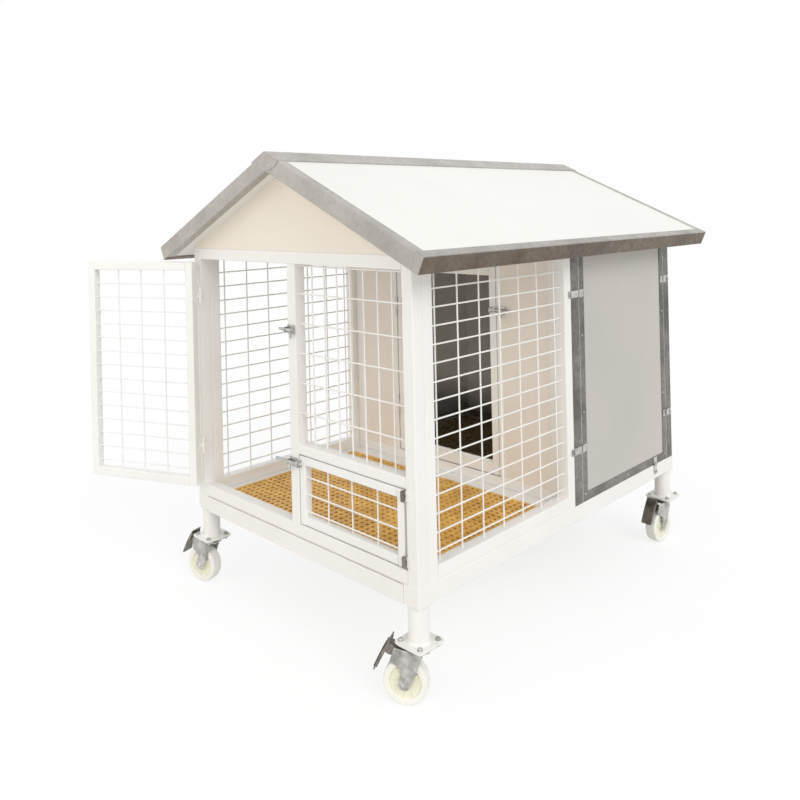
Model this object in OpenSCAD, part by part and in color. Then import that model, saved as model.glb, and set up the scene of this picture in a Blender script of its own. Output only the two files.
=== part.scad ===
// Dog kennel: a mesh yard with a swing door and a feed door at the front, an
// insulated sleeping room behind a partition, a pitched roof and four casters.
// Millimetres. Z is up and the front looks along -Y. The origin is the centre
// of the footprint, on the floor.

/* [Body] */
// Outside width over the side walls
body_w = 1100; // [1000:10:1300]
// Outside depth over the front posts and the rear panel
body_d = 1490; // [1300:10:1800]
// Height of the walls above the deck
wall_h = 892; // [760:4:1000]
// Height of the deck above the floor
deck_h = 328; // [316:2:360]
// Side of the square wall tube
tube = 40; // [34:2:46]
// Front face of the partition, measured back from the middle of the depth
part_y = 10; // [-60:5:80]
// Height of the base ring
ring_h = 54; // [46:2:64]
// Width of the base ring's rails
ring_w = 70; // [60:2:90]

/* [Mesh] */
// Thickness of a mesh wire
wire_d = 5; // [4:0.5:6]
// Spacing of the upright wires in the side walls
side_pitch_y = 98.5; // [80:0.5:110]
// Spacing of the level wires in the side walls
side_pitch_z = 52; // [40:1:56]
// Spacing of the level wires in the front door
door_pitch_z = 51; // [40:1:54]
// Spacing of the upright wires in the feed door
feed_pitch_x = 108; // [80:1:120]
// Spacing of the level wires in the feed door
feed_pitch_z = 53; // [40:1:60]

/* [Doors] */
// Angle the front door stands open at rest
door_rest = 156; // [90:1:170]
// Thickness of the front door's tube
door_t = 30; // [26:1:34]
// Right edge of the front door's opening, which is the centre post's left side
post_x = 3; // [-10:1:20]
// Height of the feed door's opening
feed_h = 220; // [180:2:260]
// Width of the feed door's tube
feed_t = 26; // [20:1:30]
// Left edge of the inner door's opening
inner_x0 = -265; // [-300:1:-220]
// Right edge of the inner door's opening
inner_x1 = 247; // [200:1:280]

/* [Latches] */
// Thickness of a latch rod
rod_d = 10; // [8:0.5:12]
// Gap all round a rod or a pin in its bore
run_gap = 0.1; // [0.05:0.01:0.1]
// Height of the front door's latch above the deck
latch_up = 647; // [500:1:750]
// Height of the inner door's latch above the deck
inner_latch_up = 643; // [500:1:750]

/* [Room] */
// Thickness of the insulated wall panels
panel_t = 50; // [40:2:60]
// Width of the channel flange round a panel
flange_w = 31; // [24:1:40]
// Sheet thickness of the channels
sheet_t = 2; // [1.5:0.5:3]
// Depth of the room's front posts
post_d = 49; // [40:1:60]

/* [Roof] */
// Slope of the roof in degrees
slope = 24.8; // [20:0.2:30]
// Thickness of the roof panels
roof_t = 50; // [40:2:60]
// How far the roof runs past the side walls, along the slope
over_eave = 98; // [70:2:140]
// How far the roof stands out past the front wall
over_front = 72; // [50:2:100]
// How far the roof stands out past the rear wall
over_rear = 108; // [60:2:140]
// Width of the ridge cap on each side of the ridge line
cap_w = 74; // [60:1:90]

/* [Floor] */
// Thickness of the floor grid
grid_t = 12; // [10:1:16]
// Spacing of the slots across the kennel
slot_px = 25.6; // [22:0.1:30]
// Spacing of the slots along the kennel
slot_py = 117.5; // [90:0.5:130]

/* [Casters] */
// Wheel diameter
wheel_d = 125; // [110:1:130]
// Wheel width
wheel_w = 40; // [32:1:44]
// Distance of the wheel's axle from the swivel's axis
trail = 38; // [36:1:50]
// Diameter of a leg
leg_d = 60; // [50:1:64]
// How far a leg reaches up into the base ring
leg_in = 30; // [20:1:36]
// Side of the leg's foot plate
plate_w = 100; // [90:1:110]

/* [Hidden] */

white = [0.93, 0.91, 0.87];
panel_grey = [0.78, 0.77, 0.74];
zinc = [0.48, 0.47, 0.45];
dark_zinc = [0.30, 0.29, 0.27];
bright = [0.72, 0.72, 0.72];
slat_yellow = [0.74, 0.52, 0.20];
nylon = [0.93, 0.88, 0.68];
clear = [0.80, 0.88, 0.88, 0.4];

// Heights and edges that many pieces share
hw = body_w / 2;
hd = body_d / 2;
deck = deck_h;
top = deck_h + wall_h;
ring_z = deck_h - ring_h;
front_y = -hd;
win_z0 = deck + tube;
win_z1 = top - tube;
rail_x = hw - ring_w;
cross_y0 = part_y - 60;
cross_y1 = part_y + 50;

// Partition, room and posts
part_t = 40;
post_y1 = part_y + part_t - 22 + post_d;
stile_y1 = part_y + 18;
rear_post = 47;
panel_y1 = hd - rear_post;
head_z = top - 2 * tube - 6;
jamb_w = 20;

// Roof points: u runs down the slope, v stands square off the underside
ridge_z = top + hw * tan(slope);
roof_y0 = front_y - over_front;
roof_y1 = hd + over_rear;
roof_len = hw / cos(slope) + over_eave;
eave_lip = 28;

// Gap between a roof panel and the pieces that wrap it or carry it
seat = 0.05;

// Front door, drawn closed and then turned about its hinge line
door_x0 = -hw + tube + 15;
door_x1 = post_x - 32;
door_z0 = win_z0 + 4;
door_z1 = win_z1 - 8;
pin_x = door_x0 - 7;
pin_y = front_y - 7;
door_y0 = front_y + 1;
door_y1 = door_y0 + door_t;

// Feed door
post_x1 = post_x + tube;
feed_z1 = win_z0 + feed_h;
mid_z1 = feed_z1 + 32;
feed_x0 = post_x1 + 4;
feed_x1 = hw - tube - 10;
feed_pin_x = feed_x1 + 5;
feed_leaf_z0 = win_z0 + 4;
feed_leaf_z1 = feed_z1 - 4;

// Inner door
in_x0 = inner_x0 + 4;
in_x1 = inner_x1 - 4;
in_z0 = win_z0;
in_z1 = head_z - 4;
in_pin_x = in_x0 - 2;
in_pin_y = part_y - 7;
in_y0 = part_y + 1;
in_y1 = in_y0 + 30;

// Hinge heights above the deck and hinge sizes
door_hinge_z = [top - 170, deck + 183];
feed_hinge_z = [feed_leaf_z1 - 14, feed_leaf_z0 + 20];
in_hinge_z = [top - 271, deck + 221];
pin_r = 4;
knuckle_r = 6.5;
leaf_t = 3;

// Latch rods ride in front of the wall face
rod_r = rod_d / 2;
rod_off = 12;
latch_z = deck + latch_up;
feed_latch_z = feed_z1 - 28;
in_latch_z = deck + inner_latch_up;
bracket_t = 5;
bracket_gap = 28;

// The tray fills the ring below the lips that carry the grid
tray_h = ring_h - grid_t - 10;

// Corner sockets hold the legs and stand a little proud of the rails
socket_w = leg_d - 2;
socket_out = 1;

// The tray's front plate hangs between the corner sockets, partly let into the rails
plate_gap = 0.5;
plate_x = hw + socket_out - socket_w - plate_gap;
plate_in = 3;

// Casters: leg x, leg y and the way the wheel trails
leg_x = hw - leg_d / 2;
leg_y = hd - leg_d / 2;
casters = [
    [leg_x, -leg_y, 210],
    [-leg_x, -leg_y, 195],
    [leg_x, leg_y, 266],
    [-leg_x, leg_y, 235]
];
axle_r = 5;
axle_z = wheel_d / 2;
foot_z = wheel_d + 42;
foot_t = 6;
crown_z = wheel_d + 22;
pivot_x = trail + 12;
bolt_at = plate_w / 2 - 14;

// Hasps: how far along, how high, and the reach of the strap
hasp_top_z = top - 177;
hasp_low_z = deck + 184;
hasp_foot_y = panel_y1 - 100;
hasp_pin_r = 1.5;

function slope_x(u, v) = u * cos(slope) + v * sin(slope);
function slope_z(u, v) = ridge_z - u * sin(slope) + v * cos(slope);
function at_x0(v) = -v * tan(slope);

// A box between two corners
module bar(x0, x1, y0, y1, z0, z1) {
    translate([x0, y0, z0])
        cube([x1 - x0, y1 - y0, z1 - z0]);
}

// Mesh wires, eight-sided so that crossing wires meet on flats
module wire_x(x0, x1, y, z) {
    translate([x0, y, z])
        rotate([0, 90, 0])
            rotate([0, 0, 22.5])
                cylinder(d = wire_d, h = x1 - x0, $fn = 8);
}

module wire_y(x, y0, y1, z) {
    translate([x, y0, z])
        rotate([-90, 0, 0])
            rotate([0, 0, 22.5])
                cylinder(d = wire_d, h = y1 - y0, $fn = 8);
}

module wire_z(x, y, z0, z1) {
    translate([x, y, z0])
        rotate([0, 0, 22.5])
            cylinder(d = wire_d, h = z1 - z0, $fn = 8);
}

wire_off = wire_d * 0.42;

// A welded mesh in a wall that faces -Y
module mesh_front(x0, x1, z0, z1, y, xs, zs) {
    for (x = xs)
        wire_z(x, y + wire_off, z0, z1);
    for (z = zs)
        wire_x(x0, x1, y - wire_off, z);
}

// A slice of roof between two lines square to the slope, run along Y
module roof_slice(u0, u1, v0, v1, y0, y1) {
    translate([0, y1, 0])
        rotate([90, 0, 0])
            linear_extrude(y1 - y0)
                polygon([
                    [slope_x(u0, v0), slope_z(u0, v0)],
                    [slope_x(u1, v0), slope_z(u1, v0)],
                    [slope_x(u1, v1), slope_z(u1, v1)],
                    [slope_x(u0, v1), slope_z(u0, v1)]
                ]);
}

// The same slice, but cut off upright on the ridge line
module ridge_slice(u1, v0, v1, y0, y1) {
    translate([0, y1, 0])
        rotate([90, 0, 0])
            linear_extrude(y1 - y0)
                polygon([
                    [0, slope_z(at_x0(v0), v0)],
                    [slope_x(u1, v0), slope_z(u1, v0)],
                    [slope_x(u1, v1), slope_z(u1, v1)],
                    [0, slope_z(at_x0(v1), v1)]
                ]);
}

// Both sides of the ridge in one piece
module chevron(u1, v0, v1, y0, y1) {
    translate([0, y1, 0])
        rotate([90, 0, 0])
            linear_extrude(y1 - y0)
                polygon([
                    [0, slope_z(at_x0(v0), v0)],
                    [slope_x(u1, v0), slope_z(u1, v0)],
                    [slope_x(u1, v1), slope_z(u1, v1)],
                    [0, slope_z(at_x0(v1), v1)],
                    [-slope_x(u1, v1), slope_z(u1, v1)],
                    [-slope_x(u1, v0), slope_z(u1, v0)]
                ]);
}

module base_frame() {
    yard_lip0 = -hd + ring_w - 10;
    color(white) {
        difference() {
            union() {
                bar(-hw, hw, -hd, hd, ring_z, deck);
                for (sx = [-1, 1])
                    for (sy = [-1, 1])
                        translate([sx * (hw + socket_out), sy * (hd + socket_out), ring_z])
                            translate([sx > 0 ? -socket_w : 0, sy > 0 ? -socket_w : 0, 0])
                                cube([socket_w, socket_w, ring_h]);
            }
            // Seats of the four legs
            for (c = casters)
                translate([c[0], c[1], ring_z - 1])
                    cylinder(r = leg_d / 2 + run_gap, h = leg_in + 1, $fn = 64);
            bar(-rail_x, rail_x, -hd - 1, cross_y0, ring_z - 1, deck + 1);
            bar(-rail_x, rail_x, cross_y1, hd - ring_w, ring_z - 1, deck + 1);
            // Rebate for the tray's front plate
            bar(-plate_x - plate_gap, plate_x + plate_gap, -hd - 1, -hd + plate_in + plate_gap,
                ring_z - 1, deck - 3);
        }
        // Flat bar under the sill, which the tray passes below
        bar(-rail_x, rail_x, -hd + 5, -hd + ring_w, deck - grid_t, deck);
        // Lips that carry the two floor grids, and the runners of the tray
        for (m = [0, 1])
            mirror([m, 0, 0]) {
                bar(rail_x - 8, rail_x, yard_lip0, cross_y0, deck - grid_t - 4, deck - grid_t);
                bar(rail_x - 8, rail_x, cross_y1, hd - ring_w, deck - grid_t - 4, deck - grid_t);
                bar(rail_x - 12, rail_x, -hd + 12, cross_y0, ring_z, ring_z + 3);
            }
    }
}

module legs() {
    color(white)
        for (c = casters)
            translate([c[0], c[1], 0])
                difference() {
                    union() {
                        translate([0, 0, foot_z])
                            cylinder(d = leg_d, h = ring_z + leg_in - foot_z, $fn = 64);
                        translate([-plate_w / 2, -plate_w / 2, foot_z])
                            cube([plate_w, plate_w, foot_t]);
                    }
                    for (x = [-bolt_at, bolt_at])
                        for (y = [-bolt_at, bolt_at])
                            translate([x, y, foot_z - 1])
                                cylinder(r = 4.2, h = foot_t + 2, $fn = 24);
                }
}

module caster_plates() {
    color(zinc)
        for (c = casters)
            translate([c[0], c[1], 0]) {
                difference() {
                    translate([-plate_w / 2 + 3, -plate_w / 2 + 3, foot_z - 4])
                        cube([plate_w - 6, plate_w - 6, 4]);
                    for (x = [-bolt_at, bolt_at])
                        for (y = [-bolt_at, bolt_at])
                            translate([x, y, foot_z - 5])
                                cylinder(r = 4.2, h = 6, $fn = 24);
                }
                // Swivel race, and the kingpin with its head
                translate([0, 0, crown_z + 6.2])
                    cylinder(r = 27, h = foot_z - 4 - crown_z - 6.2, $fn = 64);
                translate([0, 0, crown_z - 2])
                    cylinder(r = 6, h = 9, $fn = 32);
                translate([0, 0, crown_z - 6])
                    cylinder(r = 9, h = 5.8, $fn = 32);
            }
}

module caster_bolts() {
    color(dark_zinc)
        for (c = casters)
            for (x = [-bolt_at, bolt_at])
                for (y = [-bolt_at, bolt_at])
                    translate([c[0] + x, c[1] + y, foot_z]) {
                        translate([0, 0, foot_t])
                            cylinder(r = 8, h = 1.5, $fn = 24);
                        translate([0, 0, foot_t + 1.5])
                            cylinder(r = 7, h = 5, $fn = 6);
                        translate([0, 0, -5])
                            cylinder(r = 4, h = foot_t + 7, $fn = 24);
                        translate([0, 0, -9])
                            cylinder(r = 6.5, h = 5, $fn = 6);
                    }
}

module front_frame() {
    color(white)
        difference() {
            bar(-hw, hw, front_y, front_y + tube, deck, top);
            bar(-hw + tube, post_x, front_y - 1, front_y + tube + 1, win_z0, win_z1);
            bar(post_x1, hw - tube, front_y - 1, front_y + tube + 1, win_z0, feed_z1);
            bar(post_x1, hw - tube, front_y - 1, front_y + tube + 1, mid_z1, win_z1);
        }
}

module front_mesh() {
    x0 = post_x1;
    x1 = hw - tube;
    color(white)
        mesh_front(x0, x1, mid_z1, win_z1, front_y + tube / 2,
            [for (k = [1:7]) x0 + (x1 - x0) * k / 8],
            [for (k = [1:6]) k == 6 ? win_z1 - 6 : mid_z1 + (win_z1 - mid_z1) * k / 6]);
}

module side_frame_at(x0) {
    color(white)
        difference() {
            bar(x0, x0 + tube, front_y + tube, stile_y1, deck, top);
            bar(x0 - 1, x0 + tube + 1, front_y + 2 * tube, stile_y1 - tube, win_z0, win_z1);
        }
}

module side_frames() {
    side_frame_at(hw - tube);
    side_frame_at(-hw);
}

module side_meshes() {
    y0 = front_y + 2 * tube;
    y1 = stile_y1 - tube;
    ny = floor((y1 - y0 - 20) / side_pitch_y);
    nz = floor((win_z1 - win_z0 - 32) / side_pitch_z);
    ys = (y0 + y1) / 2 - ny * side_pitch_y / 2;
    color(white)
        for (s = [-1, 1]) {
            for (k = [0:ny])
                wire_z(s * (hw - tube / 2 - wire_off), ys + k * side_pitch_y, win_z0, win_z1);
            for (k = [0:nz - 1])
                wire_y(s * (hw - tube / 2 + wire_off), y0, y1, win_z0 + 27 + k * side_pitch_z);
        }
}

module partition_frame() {
    x1 = hw - tube;
    color(white)
        difference() {
            bar(-x1, x1, part_y, part_y + part_t, deck, top);
            bar(-x1 + tube, inner_x0 - jamb_w, part_y - 1, part_y + part_t + 1, win_z0 - 4, win_z1);
            bar(inner_x1 + jamb_w, x1 - tube, part_y - 1, part_y + part_t + 1, win_z0 - 4, win_z1);
            bar(inner_x0, inner_x1, part_y - 1, part_y + part_t + 1, win_z0 - 4, head_z);
        }
}

module partition_panels() {
    x1 = hw - tube;
    y0 = part_y + 2;
    y1 = part_y + part_t - 2;
    color(panel_grey) {
        bar(-x1 + tube, inner_x0 - jamb_w, y0, y1, win_z0 - 4, win_z1);
        bar(inner_x1 + jamb_w, x1 - tube, y0, y1, win_z0 - 4, win_z1);
        // Upper panel that closes the roof space over the room
        difference() {
            translate([0, y1, 0])
                rotate([90, 0, 0])
                    linear_extrude(y1 - y0)
                        polygon([[-hw, top], [hw, top], [0, ridge_z]]);
            bar(-tube / 2, tube / 2, y0 - 1, y1 + 1,
                ridge_z - tube - tube / 2 * tan(slope), ridge_z + 1);
        }
    }
}

module room_posts() {
    color(zinc)
        for (s = [-1, 1]) {
            bar(s > 0 ? hw - tube : -hw, s > 0 ? hw : -hw + tube,
                stile_y1, post_y1, deck, top);
            bar(s > 0 ? hw - panel_t : -hw, s > 0 ? hw : -hw + panel_t,
                panel_y1, hd, deck, top);
        }
}

// Core and channel of a side panel; out is 1 for the right-hand side
module side_core(out) {
    x0 = out > 0 ? hw - panel_t + sheet_t : -hw + sheet_t;
    bar(x0, x0 + panel_t - 2 * sheet_t, post_y1 + sheet_t, panel_y1 - sheet_t,
        deck + sheet_t, top - sheet_t);
}

module side_channel(out) {
    x0 = out > 0 ? hw - panel_t : -hw;
    difference() {
        bar(x0, x0 + panel_t, post_y1, panel_y1, deck, top);
        side_core(out);
        bar(x0 - 1, x0 + panel_t + 1, post_y1 + flange_w, panel_y1 - flange_w,
            deck + flange_w, top - flange_w);
    }
}

module side_panels() {
    color(panel_grey) {
        side_core(1);
        side_core(-1);
    }
}

module rear_core() {
    bar(-hw + panel_t + sheet_t, hw - panel_t - sheet_t,
        hd - panel_t + sheet_t, hd - sheet_t, deck + sheet_t, top - sheet_t);
}

module rear_panel() {
    color(panel_grey)
        rear_core();
}

module panel_channels() {
    color(zinc) {
        side_channel(1);
        side_channel(-1);
        difference() {
            bar(-hw + panel_t, hw - panel_t, hd - panel_t, hd, deck, top);
            rear_core();
            bar(-hw + panel_t + flange_w, hw - panel_t - flange_w,
                hd - panel_t - 1, hd + 1, deck + flange_w, top - flange_w);
        }
    }
}

module roof_panel_right() {
    color(panel_grey)
        ridge_slice(roof_len - seat, seat, roof_t - seat,
            roof_y0 + sheet_t + seat, roof_y1 - sheet_t - seat);
}

module roof_panel_left() {
    mirror([1, 0, 0])
        roof_panel_right();
}

module eave_channel() {
    y0 = roof_y0 + sheet_t;
    y1 = roof_y1 - sheet_t;
    roof_slice(roof_len, roof_len + sheet_t, -sheet_t, roof_t + sheet_t, y0, y1);
    roof_slice(roof_len - eave_lip, roof_len, -sheet_t, 0, y0, y1);
    roof_slice(roof_len - eave_lip, roof_len, roof_t, roof_t + sheet_t, y0, y1);
}

module eave_channels() {
    color(zinc) {
        eave_channel();
        mirror([1, 0, 0])
            eave_channel();
    }
}

// U-shaped trim over one end of the roof; its lips stop short of the eaves
module verge(web_y, lip_y) {
    y0 = min(web_y, lip_y);
    y1 = max(web_y, lip_y) + sheet_t;
    c0 = web_y < lip_y ? web_y + sheet_t : lip_y - 1;
    c1 = web_y < lip_y ? lip_y + sheet_t + 1 : web_y;
    difference() {
        chevron(roof_len + sheet_t, -sheet_t, roof_t + sheet_t, y0, y1);
        chevron(roof_len + 5, 0, roof_t, c0, c1);
        for (m = [0, 1])
            mirror([m, 0, 0])
                roof_slice(roof_len - eave_lip, roof_len + 5, -5, roof_t + 5, c0, c1);
    }
}

module verge_channels() {
    color(zinc) {
        verge(roof_y0, roof_y0 + eave_lip);
        verge(roof_y1 - sheet_t, roof_y1 - sheet_t - eave_lip);
    }
}

// Folded cap with an end plate that covers the joint of the two verges
module ridge_cap() {
    v0 = roof_t + sheet_t + seat;
    ue = cap_w + at_x0(v0);
    apex = slope_z(at_x0(v0), v0);
    tip = [slope_x(ue, v0), slope_z(ue, v0)];
    color(zinc) {
        chevron(ue, v0, v0 + sheet_t, roof_y0 - sheet_t, roof_y1 + sheet_t);
        for (y = [roof_y0, roof_y1 + sheet_t])
            translate([0, y, 0])
                rotate([90, 0, 0])
                    linear_extrude(sheet_t)
                        polygon([
                            [0, apex], [tip[0], tip[1]], [tip[0] - 9, tip[1] - 13],
                            [36, apex - 55], [18, apex - 59], [-18, apex - 59],
                            [-36, apex - 55], [9 - tip[0], tip[1] - 13], [-tip[0], tip[1]]
                        ]);
    }
}

module gable_at(y0) {
    color(white)
        translate([0, y0 + tube, 0])
            rotate([90, 0, 0])
                linear_extrude(tube)
                    polygon([[-hw, top], [hw, top], [0, ridge_z]]);
}

module gables() {
    gable_at(front_y);
    gable_at(hd - tube);
}

module ridge_beam() {
    zt = ridge_z - tube / 2 * tan(slope);
    color(white)
        bar(-tube / 2, tube / 2, front_y + tube, hd - tube, zt - tube, zt);
}

// A plate of long slots with a rim all round
module floor_grid(y0, y1) {
    rim = 10;
    w = 2 * rail_x;
    d = y1 - y0;
    slot_w = slot_px - 13;
    slot_l = slot_py - 9;
    nx = floor((w - 2 * rim - slot_w) / slot_px);
    ny = floor((d - 2 * rim - slot_l) / slot_py);
    color(slat_yellow)
        translate([-rail_x, y0, deck - grid_t])
            linear_extrude(grid_t)
                difference() {
                    square([w, d]);
                    for (i = [0:nx])
                        for (j = [0:ny])
                            translate([
                                w / 2 + (i - nx / 2) * slot_px - slot_w / 2,
                                d / 2 + (j - ny / 2) * slot_py - slot_l / 2
                            ])
                                square([slot_w, slot_l]);
                }
}

module floor_grid_yard() {
    floor_grid(-hd + ring_w, cross_y0);
}

module floor_grid_room() {
    floor_grid(cross_y1, hd - ring_w);
}

// Fixed half of a hinge: pin along Z at the origin, wall face at y = 7, leaf on -X
module hinge_fixed(h, leaf_w) {
    mid = h / 3;
    gap = 0.3;
    for (z = [mid / 2 + gap, -h / 2]) {
        translate([0, 0, z])
            cylinder(r = knuckle_r, h = mid - gap, $fn = 48);
        translate([-7, 7 - leaf_t, z])
            cube([7, leaf_t - 0.6, mid - gap]);
    }
    cylinder(r = pin_r, h = h + 4, center = true, $fn = 32);
    bar(-leaf_w - 6, -6.9, 7 - leaf_t, 7, -h / 2, h / 2);
}

// Moving half: the leaf face stands 1 mm behind the wall face
module hinge_moving(h, leaf_w) {
    mid = h / 3 - 0.3;
    difference() {
        union() {
            cylinder(r = knuckle_r, h = mid, center = true, $fn = 48);
            bar(0, 9, 8 - leaf_t, 6.4, -mid / 2, mid / 2);
            bar(8, 8 + leaf_w, 8 - leaf_t, 8, -h / 2, h / 2);
        }
        cylinder(r = pin_r + run_gap, h = h + 2, center = true, $fn = 48);
    }
}

module hinge_pins() {
    color(white) {
        for (z = door_hinge_z)
            translate([pin_x, pin_y, z])
                hinge_fixed(58, 24);
        for (z = feed_hinge_z)
            translate([feed_pin_x, pin_y, z])
                mirror([1, 0, 0])
                    hinge_fixed(27, 20);
        for (z = in_hinge_z)
            translate([in_pin_x, in_pin_y, z])
                hinge_fixed(74, 15);
    }
}

// Latch housing: a plate and two eyes; the face it sits on is at y = 0
module latch_housing(x0) {
    x1 = x0 + bracket_gap + 2 * bracket_t;
    difference() {
        union() {
            bar(x0, x1, -3, 0, -15, 15);
            bar(x0, x0 + bracket_t, -rod_off - rod_r - 3, -2.5, -rod_r - 3, rod_r + 3);
            bar(x1 - bracket_t, x1, -rod_off - rod_r - 3, -2.5, -rod_r - 3, rod_r + 3);
        }
        translate([x0 - 1, -rod_off, 0])
            rotate([0, 90, 0])
                cylinder(r = rod_r + run_gap, h = x1 - x0 + 2, $fn = 48);
    }
}

module latch_housings() {
    color(bright) {
        translate([post_x + 1, front_y, latch_z])
            latch_housing(0);
        translate([post_x + 1, front_y, feed_latch_z])
            latch_housing(0);
        translate([inner_x1 + 2, part_y, in_latch_z])
            latch_housing(0);
    }
}

// Latch rod with its knob, at y = -rod_off
module latch_rod(x0, x1, knob_x) {
    translate([x0, -rod_off, 0])
        rotate([0, 90, 0])
            cylinder(r = rod_r, h = x1 - x0, $fn = 48);
    translate([knob_x, -rod_off, -26])
        cylinder(r = 3.5, h = 26, $fn = 32);
}

// Staple that the rod slides into; its two feet stand on the door's face
module keeper(x0, x1) {
    slot = rod_r + 0.8;
    color(bright)
        difference() {
            bar(x0, x1, -rod_off - slot - 2.2, 1 - seat, -slot - 4, slot + 4);
            bar(x0 - 1, x1 + 1, -rod_off - slot, 2, -slot, slot);
        }
}

module front_latch_bolt() {
    color(bright)
        translate([post_x + 1, front_y, latch_z])
            latch_rod(-28, 45, 28.7);
}

module feed_latch_bolt() {
    color(bright)
        translate([post_x + 1, front_y, feed_latch_z])
            latch_rod(-59, 40, 9.3);
}

module inner_latch_bolt() {
    color(bright)
        translate([inner_x1 + 2, part_y, in_latch_z])
            latch_rod(-3, 60, 28.7);
}

module front_door_closed() {
    xi0 = door_x0 + door_t;
    xi1 = door_x1 - door_t;
    zi0 = door_z0 + door_t;
    zi1 = door_z1 - door_t;
    nz = floor((zi1 - zi0 - 46) / door_pitch_z);
    difference() {
        bar(door_x0, door_x1, door_y0, door_y1, door_z0, door_z1);
        bar(xi0, xi1, door_y0 - 1, door_y1 + 1, zi0, zi1);
    }
    mesh_front(xi0, xi1, zi0, zi1, (door_y0 + door_y1) / 2,
        [for (k = [1:3]) xi0 + (xi1 - xi0) * k / 4],
        [for (k = [0:nz]) zi0 + 26 + k * door_pitch_z]);
    for (z = door_hinge_z)
        translate([pin_x, pin_y, z])
            hinge_moving(58, 22);
}

// Turns what is drawn on the closed front door to where it stands open
module door_opened() {
    translate([pin_x, pin_y, 0])
        rotate([0, 0, -door_rest])
            translate([-pin_x, -pin_y, 0])
                children();
}

module front_door() {
    color(white)
        door_opened()
            front_door_closed();
}

module front_keeper() {
    door_opened()
        translate([door_x1, front_y, latch_z])
            keeper(-11, -5);
}

module feed_door() {
    xi0 = feed_x0 + feed_t;
    xi1 = feed_x1 - feed_t;
    zi0 = feed_leaf_z0 + feed_t;
    zi1 = feed_leaf_z1 - feed_t;
    xc = (xi0 + xi1) / 2;
    nz = floor((zi1 - zi0 - 35) / feed_pitch_z);
    color(white) {
        difference() {
            bar(feed_x0, feed_x1, door_y0, door_y0 + 27, feed_leaf_z0, feed_leaf_z1);
            bar(xi0, xi1, door_y0 - 1, door_y0 + 28, zi0, zi1);
        }
        mesh_front(xi0, xi1, zi0, zi1, door_y0 + 13.5,
            [xc - feed_pitch_x, xc, xc + feed_pitch_x],
            [for (k = [0:nz]) zi0 + 15 + k * feed_pitch_z]);
        for (z = feed_hinge_z)
            translate([feed_pin_x, pin_y, z])
                mirror([1, 0, 0])
                    hinge_moving(27, 18);
    }
}

module feed_keeper() {
    translate([feed_x0, front_y, feed_latch_z])
        keeper(5, 11);
}

module inner_door() {
    color(white) {
        difference() {
            bar(in_x0, in_x1, in_y0, in_y1, in_z0, in_z1);
            bar(in_x0 + 30, in_x1 - 30, in_y0 - 1, in_y1 + 1, in_z0 + 40, in_z1 - 30);
        }
        for (z = in_hinge_z)
            translate([in_pin_x, in_pin_y, z])
                hinge_moving(74, 20);
    }
}

module inner_keeper() {
    translate([in_x1, part_y, in_latch_z])
        keeper(-17, -11);
}

module inner_door_pane() {
    color(clear)
        bar(in_x0 + 30, in_x1 - 30, in_y0 + 13, in_y0 + 17, in_z0 + 40, in_z1 - 30);
}

// Waste tray that slides out forwards under the yard floor
// Front plate, floor sheet behind it, and the rim bent round the sheet's other edges
module waste_tray() {
    x1 = rail_x - 2;
    y0 = -hd + plate_in + seat;
    y1 = cross_y0 - 2;
    z0 = ring_z + 3;
    color(white) {
        bar(-plate_x, plate_x, -hd - 2, -hd + plate_in, ring_z - 2, deck - 4);
        bar(-x1, x1, y0, y1, z0, z0 + sheet_t);
        difference() {
            bar(-x1, x1, y0, y1, z0 + sheet_t + seat, z0 + tray_h);
            bar(-x1 + sheet_t, x1 - sheet_t, y0 - 1, y1 - sheet_t, z0, z0 + tray_h + 1);
        }
    }
}

// Places a caster's piece; inside, X is the way the wheel trails
module at_caster(i) {
    translate([casters[i][0], casters[i][1], 0])
        rotate([0, 0, casters[i][2]])
            children();
}

// A profile in the caster's XZ plane, run square to it from w0 to w1
module side_profile(w0, w1) {
    translate([0, w1, 0])
        rotate([90, 0, 0])
            linear_extrude(w1 - w0)
                children();
}

// Crown plate below the race, a leaning cheek on each side with a thinner wing
// that carries the brake's pivot, and the axle
module caster_fork() {
    win = wheel_w / 2 + 3;
    cz = crown_z;
    end_r = 18;
    color(zinc) {
        difference() {
            translate([0, 0, cz])
                linear_extrude(6)
                    polygon([
                        [-14, -win - 3], [28, -win - 3], [34, 4 - win], [34, win - 4],
                        [28, win + 3], [-14, win + 3], [-30, 15], [-30, -15]
                    ]);
            translate([0, 0, cz - 1])
                cylinder(r = 6 + run_gap, h = 8, $fn = 48);
        }
        for (m = [0, 1])
            mirror([0, m, 0]) {
                side_profile(win, win + 3)
                    polygon([
                        [-4, cz + 6], [-10, cz - 14], [trail - end_r, axle_z],
                        [trail + end_r, axle_z], [26, cz + 6]
                    ]);
                side_profile(win, win + 3)
                    translate([trail, axle_z])
                        circle(r = end_r, $fn = 48);
                side_profile(win, win + 2)
                    polygon([
                        [22, cz + 6], [36, cz + 6], [pivot_x + 16, cz + 10],
                        [pivot_x + 28, cz - 26], [trail + 4, axle_z + 34]
                    ]);
            }
        // Axle and the brake's pivot, with their heads
        translate([trail, 0, axle_z])
            rotate([90, 0, 0])
                cylinder(r = axle_r, h = 2 * win + 6, center = true, $fn = 48);
        for (s = [-1, 1])
            translate([trail, s * (win + 3 + 2.75), axle_z])
                rotate([90, 0, 0])
                    cylinder(r = 9, h = 5.5, center = true, $fn = 6);
        translate([pivot_x, 0, cz - 7])
            rotate([90, 0, 0])
                cylinder(r = 3, h = 2 * win + 8, center = true, $fn = 32);
    }
}

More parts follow.
